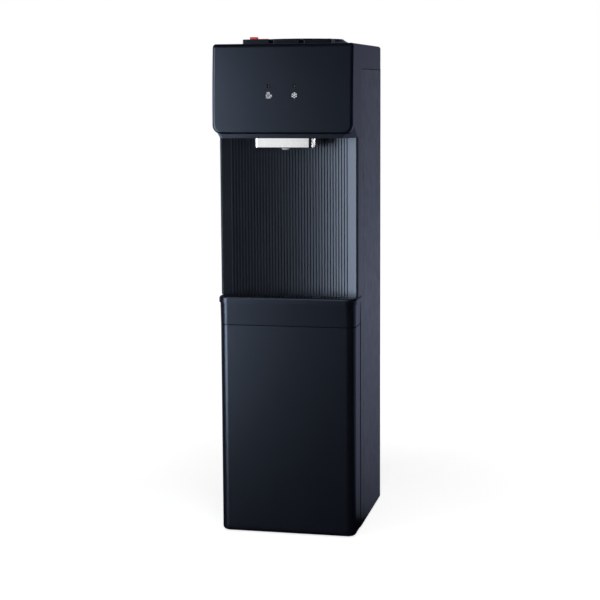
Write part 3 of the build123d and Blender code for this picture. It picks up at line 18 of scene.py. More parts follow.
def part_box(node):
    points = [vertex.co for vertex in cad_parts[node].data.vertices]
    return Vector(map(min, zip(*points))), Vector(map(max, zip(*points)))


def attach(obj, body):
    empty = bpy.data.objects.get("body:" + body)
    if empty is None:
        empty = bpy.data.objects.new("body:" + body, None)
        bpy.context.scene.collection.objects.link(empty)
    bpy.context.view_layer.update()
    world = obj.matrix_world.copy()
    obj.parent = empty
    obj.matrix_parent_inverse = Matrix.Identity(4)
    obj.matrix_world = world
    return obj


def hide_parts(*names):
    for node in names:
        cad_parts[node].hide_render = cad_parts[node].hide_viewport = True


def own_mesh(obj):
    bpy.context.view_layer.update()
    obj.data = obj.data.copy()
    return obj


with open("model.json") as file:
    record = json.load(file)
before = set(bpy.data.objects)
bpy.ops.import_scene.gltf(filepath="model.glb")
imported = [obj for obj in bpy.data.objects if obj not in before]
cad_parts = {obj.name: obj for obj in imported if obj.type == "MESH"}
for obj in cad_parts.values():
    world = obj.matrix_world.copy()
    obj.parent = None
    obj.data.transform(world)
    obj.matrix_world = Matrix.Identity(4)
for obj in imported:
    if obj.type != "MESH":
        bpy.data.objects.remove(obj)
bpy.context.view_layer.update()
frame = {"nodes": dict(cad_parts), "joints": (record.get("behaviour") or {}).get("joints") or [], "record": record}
nodes = frame["nodes"]

# %% [markdown]
# ## Camera
# A cabinet this tall is photographed from a few metres away with a long lens, so its uprights stay nearly
# upright. The tripod stands a little to the right and just below the top, which hides the deck and shows the
# drip tray. Yaw, pitch and roll are turned one after the other, as a tripod head is. A Track To constraint
# on an empty would also aim the camera, but it would leave no say over the small roll.

# %% Stand the camera
camera_data = bpy.data.cameras.new("studio_camera")
camera_data.lens = 91.1
camera_data.sensor_width = 36.0
camera_data.shift_y = -0.035
camera = bpy.data.objects.new("studio_camera", camera_data)
bpy.context.scene.collection.objects.link(camera)
tripod_head = (0.702, -3.226, 0.9525)
yaw, pitch, roll = math.radians(12.35), math.radians(7.259), math.radians(-0.318)
turn = Matrix.Rotation(yaw, 4, "Z") @ Matrix.Rotation(math.pi / 2 - pitch, 4, "X")
turn = turn @ Matrix.Rotation(roll, 4, "Z")
camera.matrix_world = Matrix.Translation(tripod_head) @ turn
bpy.context.scene.camera = camera
print("camera at", tuple(round(value, 3) for value in camera.location))

# %% [markdown]
# ## Room
# The room is a plain pale one, and it looks different to three kinds of ray. What is looked at is white.
# What lights a surface is much dimmer, so the background never adds light to the front. What a glossy piece
# mirrors is a backdrop behind the cabinet, brighter towards the floor, in a room that is dark in front: the
# side sheets look past the cabinet to that backdrop and come out pale, while the front stays deep navy.
# The Light Path node tells the rays apart. A sheet hung behind the cabinet would also be mirrored, but it
# would light the back and throw its own shadow on the floor.

# %% Shader helpers
def node(tree, kind, **settings):
    """Add one shader node and set its properties."""
    made = tree.nodes.new(kind)
    for name, value in settings.items():
        setattr(made, name, value)
    return made


def calculate(tree, operation, first, second):
    """One Math node; each side is a socket or a number."""
    made = node(tree, "ShaderNodeMath", operation=operation)
    for socket, value in zip(made.inputs, (first, second)):
        if isinstance(value, (int, float)):
            socket.default_value = value
        else:
            tree.links.new(value, socket)
    return made.outputs[0]


def ramp_between(tree, value, low, high, start, end):
    """A smooth step of a value, from start at low to end at high."""
    made = node(tree, "ShaderNodeMapRange", interpolation_type="SMOOTHSTEP")
    for name, number in (("From Min", low), ("From Max", high), ("To Min", start), ("To Max", end)):
        made.inputs[name].default_value = number
    tree.links.new(value, made.inputs["Value"])
    return made.outputs["Result"]


print("shader helpers:", [helper.__name__ for helper in (node, calculate, ramp_between)])

# %% Levels and tints by kind of ray
def level_by_ray(tree, seen, reflected, lighting):
    """One brightness for what is looked at, one for what is mirrored, one for what lights a surface."""
    path = node(tree, "ShaderNodeLightPath")
    mirrored = path.outputs["Is Glossy Ray"]
    looked_at = calculate(tree, "MAXIMUM", path.outputs["Is Camera Ray"], path.outputs["Is Transmission Ray"])
    other = calculate(tree, "SUBTRACT", 1.0, calculate(tree, "MAXIMUM", looked_at, mirrored))
    total = calculate(tree, "MULTIPLY", looked_at, seen)
    for gate, level in ((mirrored, reflected), (other, lighting)):
        total = calculate(tree, "ADD", total, calculate(tree, "MULTIPLY", gate, level))
    return total


def tint_by_ray(tree, mirrored_tint):
    """White for what is looked at, a tint for what is mirrored."""
    mix = node(tree, "ShaderNodeMixRGB")
    mix.inputs["Color1"].default_value = (1, 1, 1, 1)
    mix.inputs["Color2"].default_value = (*mirrored_tint, 1)
    tree.links.new(node(tree, "ShaderNodeLightPath").outputs["Is Glossy Ray"], mix.inputs["Fac"])
    return mix.outputs[0]


cool_white = (0.90, 0.97, 1.36)
print("mirrored room is tinted", cool_white)

# %% World
room_light = 0.06
backdrop_side = (-0.50, 0.866, 0.0)
backdrop_start, backdrop_full, room_dark = 0.665, 0.95, 0.015
low_down, high_up, high_level = -0.15, 0.30, 0.25

world = bpy.data.worlds.new("studio_room")
bpy.context.scene.world = world
world.use_nodes = True
room = world.node_tree
direction = node(room, "ShaderNodeTexCoord")
towards_back = node(room, "ShaderNodeVectorMath", operation="DOT_PRODUCT")
towards_back.inputs[1].default_value = backdrop_side
room.links.new(direction.outputs["Generated"], towards_back.inputs[0])
room_axes = node(room, "ShaderNodeSeparateXYZ")
room.links.new(direction.outputs["Generated"], room_axes.inputs[0])
room_height = ramp_between(room, room_axes.outputs["Z"], low_down, high_up, 1.0, high_level)
facing = towards_back.outputs["Value"]
backdrop = ramp_between(room, facing, backdrop_start, backdrop_full, room_dark, 1.0)
room_level = level_by_ray(room, 1.0, calculate(room, "MULTIPLY", backdrop, room_height), room_light)
background = room.nodes["Background"]
room.links.new(tint_by_ray(room, cool_white), background.inputs["Color"])
room.links.new(room_level, background.inputs["Strength"])
print("room lights surfaces at", room_light, "and is seen as white")

# %% [markdown]
# ## Floor
# The floor is matt white board that takes the cabinet's shadow. A plain diffuse floor would need strong lamps
# to reach white, and those would flood the cabinet, so most of its white is its own glow. That glow is dimmed
# near the feet, a painted shade round the cabinet's foot on top of its real cast shadow. Its mirror image gets
# brighter with distance behind the cabinet, and there it meets the backdrop.

# %% Floor
floor_half = 6
floor_corners = [(-floor_half, -floor_half, 0), (floor_half, -floor_half, 0),
                 (floor_half, floor_half, 0), (-floor_half, floor_half, 0)]
floor_mesh = bpy.data.meshes.new("studio_floor")
floor_mesh.from_pydata(floor_corners, [], [(0, 1, 2, 3)])
floor = bpy.data.objects.new("studio_floor", floor_mesh)
bpy.context.scene.collection.objects.link(floor)
print("floor", tuple(floor.dimensions))

# %% Floor's glow
# The glow is dimmed near the feet, as painted shade round the cabinet's foot.
near_feet, away_from_feet, shaded_glow_at_feet = 0.35, 1.5, 0.76
mirror_run, mirror_curve, mirror_top = 3.5, 0.34, 0.31

floor_finish = bpy.data.materials.new("matt_white_floor")
floor_finish.use_nodes = True
paint = floor_finish.node_tree
paint.nodes.clear()
floor_place = node(paint, "ShaderNodeTexCoord")
floor_axes = node(paint, "ShaderNodeSeparateXYZ")
floor_reach = node(paint, "ShaderNodeVectorMath", operation="LENGTH")
paint.links.new(floor_place.outputs["Object"], floor_axes.inputs[0])
paint.links.new(floor_place.outputs["Object"], floor_reach.inputs[0])
from_feet = floor_reach.outputs["Value"]
# Glow seen from the camera: painted shade near the feet, full white further out.
floor_seen_with_shade = ramp_between(paint, from_feet, near_feet, away_from_feet, shaded_glow_at_feet, 1.0)
floor_run = node(paint, "ShaderNodeMapRange")
floor_run.inputs["From Max"].default_value = mirror_run
paint.links.new(floor_axes.outputs["Y"], floor_run.inputs["Value"])
floor_rise = calculate(paint, "POWER", floor_run.outputs["Result"], mirror_curve)
floor_mirrored = calculate(paint, "MULTIPLY", floor_rise, mirror_top)
floor_glow = node(paint, "ShaderNodeEmission")
paint.links.new(tint_by_ray(paint, cool_white), floor_glow.inputs["Color"])
paint.links.new(level_by_ray(paint, floor_seen_with_shade, floor_mirrored, 0.0), floor_glow.inputs["Strength"])
print("floor glows", shaded_glow_at_feet, "at the feet and 1.0 beyond", away_from_feet)

# %% Floor's matt board
matt_white = 0.5
floor_ray = node(paint, "ShaderNodeLightPath")
not_mirrored = calculate(paint, "SUBTRACT", 1.0, floor_ray.outputs["Is Glossy Ray"])
floor_matt = node(paint, "ShaderNodeBsdfDiffuse")
paint.links.new(calculate(paint, "MULTIPLY", not_mirrored, matt_white), floor_matt.inputs["Color"])
floor_sum = node(paint, "ShaderNodeAddShader")
floor_out = node(paint, "ShaderNodeOutputMaterial")
paint.links.new(floor_matt.outputs[0], floor_sum.inputs[0])
paint.links.new(floor_glow.outputs[0], floor_sum.inputs[1])
paint.links.new(floor_sum.outputs[0], floor_out.inputs[0])
floor_mesh.materials.append(floor_finish)
print("floor's board reflects", matt_white)

# %% [markdown]
# ## Lamps
# Dark plastic shows almost nothing but reflections, so its lamps are chosen for the shapes they leave on it.
# A tall strip on the left is the one lamp that every cover mirrors: it fades across the front from left to
# right. Three larger soft boxes fill in from the camera, the top and the right. They are kept out of the
# reflections, because each would leave a second bright patch. Small cards, each linked to a few pieces, lift
# the chrome tap, the niche and the tray, as a studio does with bits of white board. Area lamps are used, not
# points or a sun, because only a wide lamp leaves a soft edge on a satin surface.

# %% Soft boxes
def soft_box(name, place, aim, width, height, watts, tint=(1, 1, 1), mirrored=True):
    """A rectangular soft box that faces the point it aims at; some are kept out of the reflections."""
    data = bpy.data.lights.new(name, "AREA")
    data.shape = "RECTANGLE"
    data.size = width
    data.size_y = height
    data.energy = watts
    data.color = tint
    lamp = bpy.data.objects.new(name, data)
    bpy.context.scene.collection.objects.link(lamp)
    lamp.location = place
    lamp.visible_camera = False
    lamp.visible_glossy = mirrored
    lamp.rotation_mode = "QUATERNION"
    lamp.rotation_quaternion = (Vector(aim) - Vector(place)).to_track_quat("-Z", "Y")
    return lamp


soft_box("left_strip", place=(-0.90, -1.20, 0.66), aim=(-0.10, 0, 0.66),
         width=0.50, height=1.5, watts=16.5, tint=(0.93, 0.96, 1.0))
soft_box("camera_fill", place=(0.8, -2.6, 1.9), aim=(0, 0, 0.6),
         width=1.2, height=1.2, watts=28, mirrored=False)
soft_box("top_soft_box", place=(0.2, -0.9, 2.6), aim=(0, 0, 0.6),
         width=1.4, height=1.4, watts=14, mirrored=False)
soft_box("right_soft_box", place=(2.4, -0.2, 1.2), aim=(0, 0, 0.6),
         width=1.0, height=2.2, watts=20, tint=(1.0, 0.98, 0.97), mirrored=False)
print("soft boxes:", [item.name for item in bpy.data.lights])

# %% Cards for a few pieces
def light_only(lamp, names, through_walls=False):
    """Link a lamp to a few pieces, so that it leaves the rest as it was; walls may be let through."""
    lit = bpy.data.collections.new("lit_by_" + lamp.name)
    for name in names:
        lit.objects.link(nodes[name])
    lamp.light_linking.receiver_collection = lit
    if through_walls:
        lamp.light_linking.blocker_collection = lit
    print(lamp.name, "lights", names)


tap_card = soft_box("tap_card", place=(-0.43, -1.55, 0.77), aim=(0, -0.18, 0.83),
                    width=0.46, height=0.5, watts=0.66)
light_only(tap_card, ["tap_cover"])
tap_side_card = soft_box("tap_side_card", place=(0.28, 0.93, 0.79), aim=(0.06, -0.15, 0.83),
                         width=0.08, height=0.12, watts=3.2)
light_only(tap_side_card, ["tap_cover"], through_walls=True)
niche_card = soft_box("niche_card", place=(1.6, -1.9, 0.70), aim=(0, -0.05, 0.68),
                      width=0.5, height=1.0, watts=4.5)
light_only(niche_card, ["niche_wall"])
tray_card = soft_box("tray_card", place=(-0.1, -0.9, 1.9), aim=(0, -0.17, 0.51),
                     width=1.0, height=0.5, watts=3.0)
light_only(tray_card, ["tray_housing", "drip_tray", "drip_grille"])

# %% [markdown]
# ## Moulded plastic
# The covers are injection mouldings with a fine spark-eroded grain. The real grain is about a fifth of a
# millimetre, so it is a bump, never geometry. Two noises do the rest: a slow one shifts the colour and a
# finer one the roughness, as wall thickness and handling do. Object coordinates are metres on these pieces,
# so a scale of 3000 means 3000 grains in a metre. The dark covers' sheen is tinted a little blue, which keeps
# a nearly black navy from looking like plain black; more blue in the base colour would hardly show.

# %% Finish helpers
finishes = {}


def finish(name, colour, roughness, metallic=0.0, specular=0.5, sheen_tint=(1, 1, 1)):
    """A material with one Principled shader, filed by its slot; returns it, its tree and the shader."""
    material = bpy.data.materials.new(name)
    material.use_nodes = True
    tree = material.node_tree
    shader = tree.nodes["Principled BSDF"]
    shader.inputs["Base Color"].default_value = (*colour, 1)
    shader.inputs["Roughness"].default_value = roughness
    shader.inputs["Metallic"].default_value = metallic
    shader.inputs["Specular IOR Level"].default_value = specular
    shader.inputs["Specular Tint"].default_value = (*sheen_tint, 1)
    finishes[name] = material
    return material, tree, shader


def noise(tree, scale, detail):
    """A noise measured in the piece's own metres."""
    place = node(tree, "ShaderNodeTexCoord")
    texture = node(tree, "ShaderNodeTexNoise")
    texture.inputs["Scale"].default_value = scale
    texture.inputs["Detail"].default_value = detail
    tree.links.new(place.outputs["Object"], texture.inputs["Vector"])
    return texture.outputs["Fac"]


def shades(colour, spread):
    """The same colour a little darker and a little lighter."""
    return [part * (1 - spread) for part in colour], [part * (1 + spread) for part in colour]


print("a mid grey in two shades:", shades((0.5,), 0.1))

# %% Helpers that vary a finish
def vary_colour(tree, shader, value, dark, light):
    """Slide the base colour between two near neighbours."""
    ramp = node(tree, "ShaderNodeValToRGB")
    ramp.color_ramp.elements[0].position = 0.3
    ramp.color_ramp.elements[0].color = (*dark, 1)
    ramp.color_ramp.elements[1].position = 0.7
    ramp.color_ramp.elements[1].color = (*light, 1)
    tree.links.new(value, ramp.inputs[0])
    tree.links.new(ramp.outputs[0], shader.inputs["Base Color"])


def vary_roughness(tree, shader, value, low, high):
    """Slide the roughness between two near neighbours."""
    spread = node(tree, "ShaderNodeMapRange")
    spread.inputs["From Min"].default_value = 0.3
    spread.inputs["From Max"].default_value = 0.7
    spread.inputs["To Min"].default_value = low
    spread.inputs["To Max"].default_value = high
    tree.links.new(value, spread.inputs["Value"])
    tree.links.new(spread.outputs["Result"], shader.inputs["Roughness"])


def raise_grain(tree, shader, value, strength, depth):
    """Grain as a bump; the depth is in metres."""
    bump = node(tree, "ShaderNodeBump")
    bump.inputs["Strength"].default_value = strength
    bump.inputs["Distance"].default_value = depth
    tree.links.new(value, bump.inputs["Height"])
    tree.links.new(bump.outputs["Normal"], shader.inputs["Normal"])


print("helpers:", [helper.__name__ for helper in (vary_colour, vary_roughness, raise_grain)])

# %% Mouldings
mould_grain_depth = 0.00002


def moulded(name, colour, roughness, grain=3000.0, strength=0.03, specular=0.5, sheen_tint=(1, 1, 1)):
    """Injection moulded plastic with a fine grain."""
    material, tree, shader = finish(name, colour, roughness, specular=specular, sheen_tint=sheen_tint)
    wall_patches = noise(tree, 18.0, 2.0)
    handled_patches = noise(tree, 60.0, 4.0)
    vary_colour(tree, shader, wall_patches, *shades(colour, 0.07))
    vary_roughness(tree, shader, handled_patches, roughness - 0.002, roughness + 0.002)
    raise_grain(tree, shader, noise(tree, grain, 1.0), strength, mould_grain_depth)
    return material


cool_sheen = (0.62, 0.76, 1.0)
niche_sheen = (0.68, 0.80, 1.0)
moulded("navy_panel", (0.0025, 0.0028, 0.0055), 0.33, specular=1.0, sheen_tint=cool_sheen)
moulded("niche_plastic", (0.0065, 0.0078, 0.011), 0.33, specular=0.9, sheen_tint=niche_sheen)
moulded("grille_plastic", (0.005, 0.006, 0.009), 0.34, sheen_tint=cool_sheen)
moulded("button_plastic", (0.0030, 0.0034, 0.0060), 0.33, specular=0.6, sheen_tint=cool_sheen)
moulded("lock_red", (0.50, 0.045, 0.05), 0.36)
moulded("nozzle_plastic", (0.62, 0.64, 0.68), 0.35)
moulded("white_plastic", (0.74, 0.74, 0.71), 0.38)
moulded("inner_plastic", (0.20, 0.20, 0.21), 0.45)
moulded("black_plastic", (0.012, 0.012, 0.013), 0.45)
moulded("rocker_red", (0.42, 0.02, 0.02), 0.28, strength=0.05)
moulded("rocker_green", (0.02, 0.22, 0.07), 0.28, strength=0.05)
moulded("silicone", (0.66, 0.64, 0.59), 0.48, strength=0.05)
moulded("black_rubber", (0.014, 0.014, 0.014), 0.72, grain=1800.0, strength=0.4)
moulded("foam", (0.70, 0.68, 0.60), 0.85, grain=500.0, strength=0.8)
moulded("board_green", (0.02, 0.11, 0.05), 0.35, strength=0.1)
print("mouldings:", len(finishes))

# %% [markdown]
# ## Painted and bare metal
# The side sheets are powder coated: a paint that melts into a faint orange peel, broader than plastic grain.
# Zinc, stainless steel and copper are fully metallic, and zinc gets the flat spangles of galvanised sheet
# from a Voronoi texture, where a noise would look like dirt.

# %% Painted metal
coat_depth = 0.0001


def powder_coat(name, colour, roughness, specular=0.5, sheen_tint=(1, 1, 1)):
    """Paint with a faint orange peel."""
    _, tree, shader = finish(name, colour, roughness, specular=specular, sheen_tint=sheen_tint)
    coat_patches = noise(tree, 9.0, 2.0)
    rubbed_patches = noise(tree, 45.0, 3.0)
    orange_peel = noise(tree, 900.0, 2.0)
    vary_colour(tree, shader, coat_patches, *shades(colour, 0.05))
    vary_roughness(tree, shader, rubbed_patches, roughness - 0.02, roughness + 0.03)
    raise_grain(tree, shader, orange_peel, 0.18, coat_depth)


powder_coat("side_steel", (0.008, 0.009, 0.012), 0.30, specular=0.6, sheen_tint=cool_sheen)
powder_coat("compressor_black", (0.010, 0.010, 0.011), 0.35)
powder_coat("condenser_black", (0.013, 0.013, 0.014), 0.38)
print("finishes:", len(finishes))

# %% Bare metal
scratch_scale, scratch_depth = 700.0, 0.0001


def bare_metal(name, colour, roughness, streak=(1, 1, 1), strength=0.04):
    """Metal whose fine scratches run along the axis with the small streak value."""
    _, tree, shader = finish(name, colour, roughness, metallic=1.0)
    place = node(tree, "ShaderNodeTexCoord")
    stretch = node(tree, "ShaderNodeMapping")
    stretch.inputs["Scale"].default_value = streak
    scratches = node(tree, "ShaderNodeTexNoise")
    scratches.inputs["Scale"].default_value = scratch_scale
    scratches.inputs["Detail"].default_value = 3.0
    tree.links.new(place.outputs["Object"], stretch.inputs["Vector"])
    tree.links.new(stretch.outputs["Vector"], scratches.inputs["Vector"])
    vary_roughness(tree, shader, scratches.outputs["Fac"], roughness - 0.05, roughness + 0.06)
    raise_grain(tree, shader, scratches.outputs["Fac"], strength, scratch_depth)


bare_metal("tap_chrome", (0.90, 0.905, 0.92), 0.16, strength=0.0)
bare_metal("spring_steel", (0.62, 0.62, 0.63), 0.28)
bare_metal("stainless_steel", (0.66, 0.66, 0.67), 0.30, streak=(1, 1, 0.03))
bare_metal("screw_zinc", (0.52, 0.52, 0.51), 0.32)
bare_metal("copper", (0.75, 0.42, 0.28), 0.30)
print("finishes:", len(finishes))

# %% Galvanised sheet
dull_spangle, bright_spangle, spangle_scale = (0.48, 0.49, 0.52), (0.62, 0.63, 0.65), 120.0
_, zinc_tree, zinc_shader = finish("galvanised_steel", (0.55, 0.56, 0.58), 0.38, metallic=1.0)
zinc_place = node(zinc_tree, "ShaderNodeTexCoord")
spangle = node(zinc_tree, "ShaderNodeTexVoronoi")
spangle.inputs["Scale"].default_value = spangle_scale
zinc_tree.links.new(zinc_place.outputs["Object"], spangle.inputs["Vector"])
zinc_grey = node(zinc_tree, "ShaderNodeRGBToBW")
zinc_tree.links.new(spangle.outputs["Color"], zinc_grey.inputs[0])
vary_colour(zinc_tree, zinc_shader, zinc_grey.outputs[0], dull_spangle, bright_spangle)
vary_roughness(zinc_tree, zinc_shader, zinc_grey.outputs[0], 0.32, 0.46)
print("finishes:", len(finishes))

# %% [markdown]
# ## Indicator lamps
# Each lamp is a tinted, diffusing dome. Unlit, it is a dark jewel, so it is a glossy colour under a clear
# coat, with no emission: a glowing lamp would be one more light on the front.

# %% Indicator lamps
def lamp_dome(name, colour):
    """An unlit lamp dome, cloudy inside and clear coated."""
    _, tree, shader = finish(name, colour, 0.22)
    cloudy, cloud = [part * 0.7 for part in colour], noise(tree, 900.0, 2.0)
    vary_colour(tree, shader, cloud, cloudy, colour)
    shader.inputs["Coat Weight"].default_value = 0.6
    shader.inputs["Coat Roughness"].default_value = 0.08


lamp_dome("led_red", (0.13, 0.010, 0.008))
lamp_dome("led_green", (0.075, 0.080, 0.015))
print("finishes with the lamp domes:", len(finishes))

# %% [markdown]
# ## Give every piece its finish
# The record pairs each piece with a material slot. Walking that list, instead of naming the pieces again,
# keeps the two in step: a slot that is added to the model later can't be forgotten without a message.

# %% Assign finishes
for entry in frame["record"]["subparts"]:
    piece = nodes[entry["node"]]
    if not piece.material_slots:
        piece.data.materials.append(None)
    for material_slot in piece.material_slots:
        material_slot.material = finishes[entry["material_slot"]]

# %% [markdown]
# ## Valve springs
# Each button pushes its rod down against a coil spring, so the spring has to get shorter as the rod comes
# down. A rigid spring would let the rod's collar cut through its top coils. Each one is stood in for by a
# copy of its own mesh, hung on the cabinet, and the solid spring is hidden. Nothing here shortens the copy
# as the valve moves. A shape key with a driver could shorten it, but only in this file.

# %% Copies of the springs
for valve in [joint for joint in frame["joints"] if joint["name"].endswith("_valve_lift")]:
    for soft in valve["deforming_nodes"]:
        spring = nodes[soft["node"]]
        low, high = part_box(soft["node"])
        shortened = bpy.data.objects.new(spring.name + "_shortening", spring.data.copy())
        bpy.context.scene.collection.objects.link(shortened)
        shortened.matrix_world = spring.matrix_world
        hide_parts(soft["node"])
        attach(shortened, "cabinet")
        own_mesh(shortened)

# %% [markdown]
# ## Printed signs
# Two signs are pad printed under the lamps: a steaming cup for hot and a snowflake for cold. They are drawn
# as strokes, then laid on the bellied front. A decal image would be quicker, but it needs a picture file;
# strokes stay sharp at any distance. Each vertex is dropped onto the front by a ray, so the print follows
# the curve and stands a few hundredths of a millimetre proud, as ink does.

# %% Print strokes on the front
fascia = nodes["head_fascia"]
ink_proud = 0.00006
sign_spread, sign_height = 0.0268, 0.933


def front_at(x, z):
    """The front's surface straight behind a point seen from the front."""
    hit, place, _, _ = fascia.ray_cast(Vector((x, -0.5, z)), Vector((0, 1, 0)))
    assert hit, (x, z)
    return place.y


def printed(name, strokes, centre, ink, width):
    """Flat ribbons of one width along strokes, given in millimetres round the sign's centre."""
    mesh = bmesh.new()
    for stroke in strokes:
        points = [Vector(point) for point in stroke]
        rows = []
        for index, point in enumerate(points):
            before = points[max(index - 1, 0)]
            after = points[min(index + 1, len(points) - 1)]
            along = (after - before).normalized()
            across = Vector((-along.y, along.x)) * width / 2
            row = []
            for flat in (point + across, point - across):
                x, z = centre[0] + flat.x / 1000, centre[1] + flat.y / 1000
                row.append(mesh.verts.new((x, front_at(x, z) - ink_proud, z)))
            rows.append(row)
        for first, second in zip(rows, rows[1:]):
            mesh.faces.new((first[0], second[0], second[1], first[1]))
    data = bpy.data.meshes.new(name)
    mesh.normal_update()
    mesh.to_mesh(data)
    mesh.free()
    sign = bpy.data.objects.new(name, data)
    bpy.context.scene.collection.objects.link(sign)
    data.materials.append(ink)
    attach(sign, "cabinet")
    return sign


white_ink = moulded("white_ink", (0.80, 0.81, 0.83), 0.5, strength=0.05)
print("front between the signs at y", round(front_at(0, sign_height), 4))

# %% Steaming cup
def arc(centre, radius, start, end, steps, squash=1.0):
    """Points of an arc, angles in degrees from the right, anticlockwise."""
    angles = [math.radians(start + (end - start) * step / steps) for step in range(steps + 1)]
    return [(centre[0] + radius * math.cos(a), centre[1] + radius * squash * math.sin(a)) for a in angles]


rim_left = (-5.3, 0.8)
bowl = arc((-0.8, 0.8), 4.5, 180, 360, 16, squash=0.95) + [rim_left]
handle = arc((4.3, -0.9), 1.8, -100, 120, 12)
saucer = [(-5.6, -5.2), (4.6, -5.2)]
cup = [bowl, handle, saucer]
for steam_x in (-3.0, -0.8, 1.4):
    cup.append([(steam_x + 0.5 * math.sin(step * 0.9), 2.4 + step * 0.6) for step in range(8)])
cup_sign = printed("cup_sign", cup, (-sign_spread, sign_height), white_ink, 0.85)
print("cup", tuple(round(value, 4) for value in cup_sign.dimensions))

# %% Snowflake
arm_length, twig_length, twig_root, twig_lean = 6.0, 2.2, 3.6, 50


def way(degrees):
    """A direction in the sign's plane, in degrees from the right."""
    return Vector((math.cos(math.radians(degrees)), math.sin(math.radians(degrees))))


flake = []
for arm in range(6):
    out = way(90 + 60 * arm)
    flake.append([(0, 0), tuple(out * arm_length)])
    for lean in (-twig_lean, twig_lean):
        tip = out * twig_root + way(90 + 60 * arm + lean) * twig_length
        flake.append([tuple(out * twig_root), tuple(tip)])
flake_sign = printed("snowflake_sign", flake, (sign_spread, sign_height), white_ink, 0.75)
print("snowflake", tuple(round(value, 4) for value in flake_sign.dimensions))

# %% [markdown]
# ## Joint shade strips
# A thin black strip lies in the joint between the lower cover and the tray housing. It is painted shade: the
# real joint is a narrow groove in shadow, and the strip makes it read as one dark line. Rays walk round the
# cabinet just under the joint, one degree at a time, so the strip follows the rounded corners whatever their
# radius is. A swept curve would need that radius written down a second time. Straight strips of the same
# painted shade lie in the joints over the two side sheets, and behind the fascia's lower edge, where daylight
# would show through the head.

# %% A line that follows the cabinet
middle_y, stand_off, reach = -0.06, 0.5, 0.42


def walk_round(names, height, first, last, outset):
    """Points on the outside of some pieces at one height, a degree apart, with the way out at each."""
    line = []
    count = round(last - first)
    for step in range(count + 1):
        angle = math.radians(first + (last - first) * step / count)
        outward = Vector((math.cos(angle), math.sin(angle), 0))
        start = Vector((0, middle_y, height)) + outward * stand_off
        hits = []
        for name in names:
            hit, place, normal, _ = nodes[name].ray_cast(start, -outward)
            if hit and (place - start).length < reach:
                hits.append(((place - start).length, place, normal))
        if hits:
            _, place, normal = min(hits)
            line.append((place + normal * outset, normal))
    return line


sunk, below_joint = 0.0003, 0.004
cover_start, cover_end = 150, 390
cover_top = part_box("lower_front_cover")[1].z
cover_line = walk_round(["lower_front_cover"], cover_top - below_joint, cover_start, cover_end, -sunk)
print("front gasket points:", len(cover_line))

# %% A strip along a line
def band(name, line, profile, thickness, material):
    """A closed strip along a line; its outer face goes through the profile's heights and insets."""
    mesh = bmesh.new()
    section = profile + [(profile[-1][0], thickness), (profile[0][0], thickness)]
    rows = []
    for place, normal in line:
        flats = [(place - normal * inset, z) for z, inset in section]
        rows.append([mesh.verts.new((flat.x, flat.y, z)) for flat, z in flats])
    for first, second in zip(rows, rows[1:]):
        for side in range(len(section)):
            follow = (side + 1) % len(section)
            mesh.faces.new((first[side], second[side], second[follow], first[follow]))
    for end in (rows[0], rows[-1]):
        mesh.faces.new(end)
    bmesh.ops.recalc_face_normals(mesh, faces=mesh.faces)
    data = bpy.data.meshes.new(name)
    mesh.to_mesh(data)
    mesh.free()
    made = bpy.data.objects.new(name, data)
    bpy.context.scene.collection.objects.link(made)
    data.materials.append(material)
    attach(made, "cabinet")
    return made


# A near-black rough finish for the joint strips: painted shade that stands in for the shadow in the joints.
painted_joint_shade = moulded("painted_joint_shade", (0.0012, 0.0012, 0.0016), 0.9, grain=500.0, specular=0.1)
joint_height, overlap, joint_shade_depth = 0.0012, 0.0004, 0.0006


def joint_shade_strip(name, line, profile):
    """A black strip of painted shade in a joint."""
    return band(name, line, profile, joint_shade_depth, painted_joint_shade)


def joint_profile(lower_edge):
    """A flat face that fills a joint and overlaps both of its edges."""
    return [(lower_edge - overlap, 0), (lower_edge + joint_height + overlap, 0)]


# The strip in the joint over the lower cover is painted shade, a dark line where the groove lies in shadow.
front_gasket = joint_shade_strip("front_gasket", cover_line, joint_profile(cover_top))
print("front gasket", tuple(round(value, 4) for value in front_gasket.dimensions))
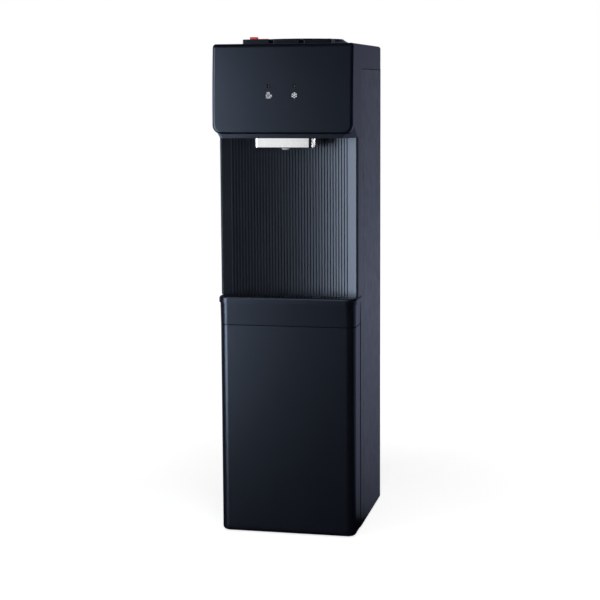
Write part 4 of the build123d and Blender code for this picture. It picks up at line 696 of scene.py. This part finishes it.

# %% Straight strips of painted joint shade
fascia_low, fascia_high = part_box("head_fascia")
fascia_inset, below_lip, above_lip = 0.012, 0.001, 0.0045
ahead = Vector((0, -1, 0))
fascia_ends = (fascia_low.x + fascia_inset, fascia_high.x - fascia_inset)
fascia_line = [(Vector((x, fascia_high.y + sunk, 0)), ahead) for x in fascia_ends]
fascia_profile = [(fascia_low.z - below_lip, 0), (fascia_low.z + above_lip, 0)]
# A strip of the same painted shade behind the fascia's lower edge, where daylight would show through.
joint_shade_strip("fascia_gasket", fascia_line, fascia_profile)
# Each side sheet gets a strip of painted shade in the joint over it.
for side, way_out in (("side_panel_left", -1), ("side_panel_right", 1)):
    low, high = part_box(side)
    sideways = Vector((way_out, 0, 0))
    wall = sideways * (max(abs(low.x), abs(high.x)) - sunk)
    side_line = [(wall + Vector((0, y, 0)), sideways) for y in (low.y, high.y)]
    joint_shade_strip(side + "_gasket", side_line, joint_profile(high.z))
    print(side, "gasket at height", round(high.z, 4))

# %% [markdown]
# ## Foot skirt
# A skirt of the same plastic as the cover closes the gap over the floor, so that the front and the side
# sheets end in one rounded edge. It could be part of the base pan, but then each cover would need its own
# cut-out. The outer faces are shaded smooth round the corners and down to the foot. The top edge is sharp,
# because a smooth one would catch the light as a bright line.

# %% Foot skirt
skirt_foot, skirt_round, skirt_top, skirt_proud = 0.003, 0.008, 0.0165, 0.0001
skirt_start, skirt_end, probe_height, round_steps = 123.4, 416.6, 0.030, 6
skirt_pieces = ["lower_front_cover", "side_panel_left", "side_panel_right"]
skirt_line = walk_round(skirt_pieces, probe_height, skirt_start, skirt_end, skirt_proud)
skirt_profile = []
for step in range(round_steps + 1):
    bend = math.radians(90 * step / round_steps)
    rise, inset = skirt_round * (1 - math.cos(bend)), skirt_round * (1 - math.sin(bend))
    skirt_profile.append((skirt_foot + rise, inset))
skirt_profile.append((skirt_top, 0))
skirt = band("foot_skirt", skirt_line, skirt_profile, skirt_round, finishes["navy_panel"])
print("skirt points:", len(skirt_line), "size", tuple(round(value, 3) for value in skirt.dimensions))

# %% Smooth faces and a sharp top edge
outer_faces = len(skirt_profile) - 1
faces_in_a_row = outer_faces + 3
hair = 0.00001
for index, face in enumerate(skirt.data.polygons):
    face.use_smooth = index % faces_in_a_row < outer_faces
for edge in skirt.data.edges:
    heights = [skirt.data.vertices[end].co.z for end in edge.vertices]
    edge.use_edge_sharp = min(heights) > skirt_top - hair
print("sharp edges:", sum(edge.use_edge_sharp for edge in skirt.data.edges))

# %% [markdown]
# ## Finish
# The view transform is Standard, so a colour renders as it was mixed.

# %% Finish
bpy.context.scene.view_settings.view_transform = "Standard"
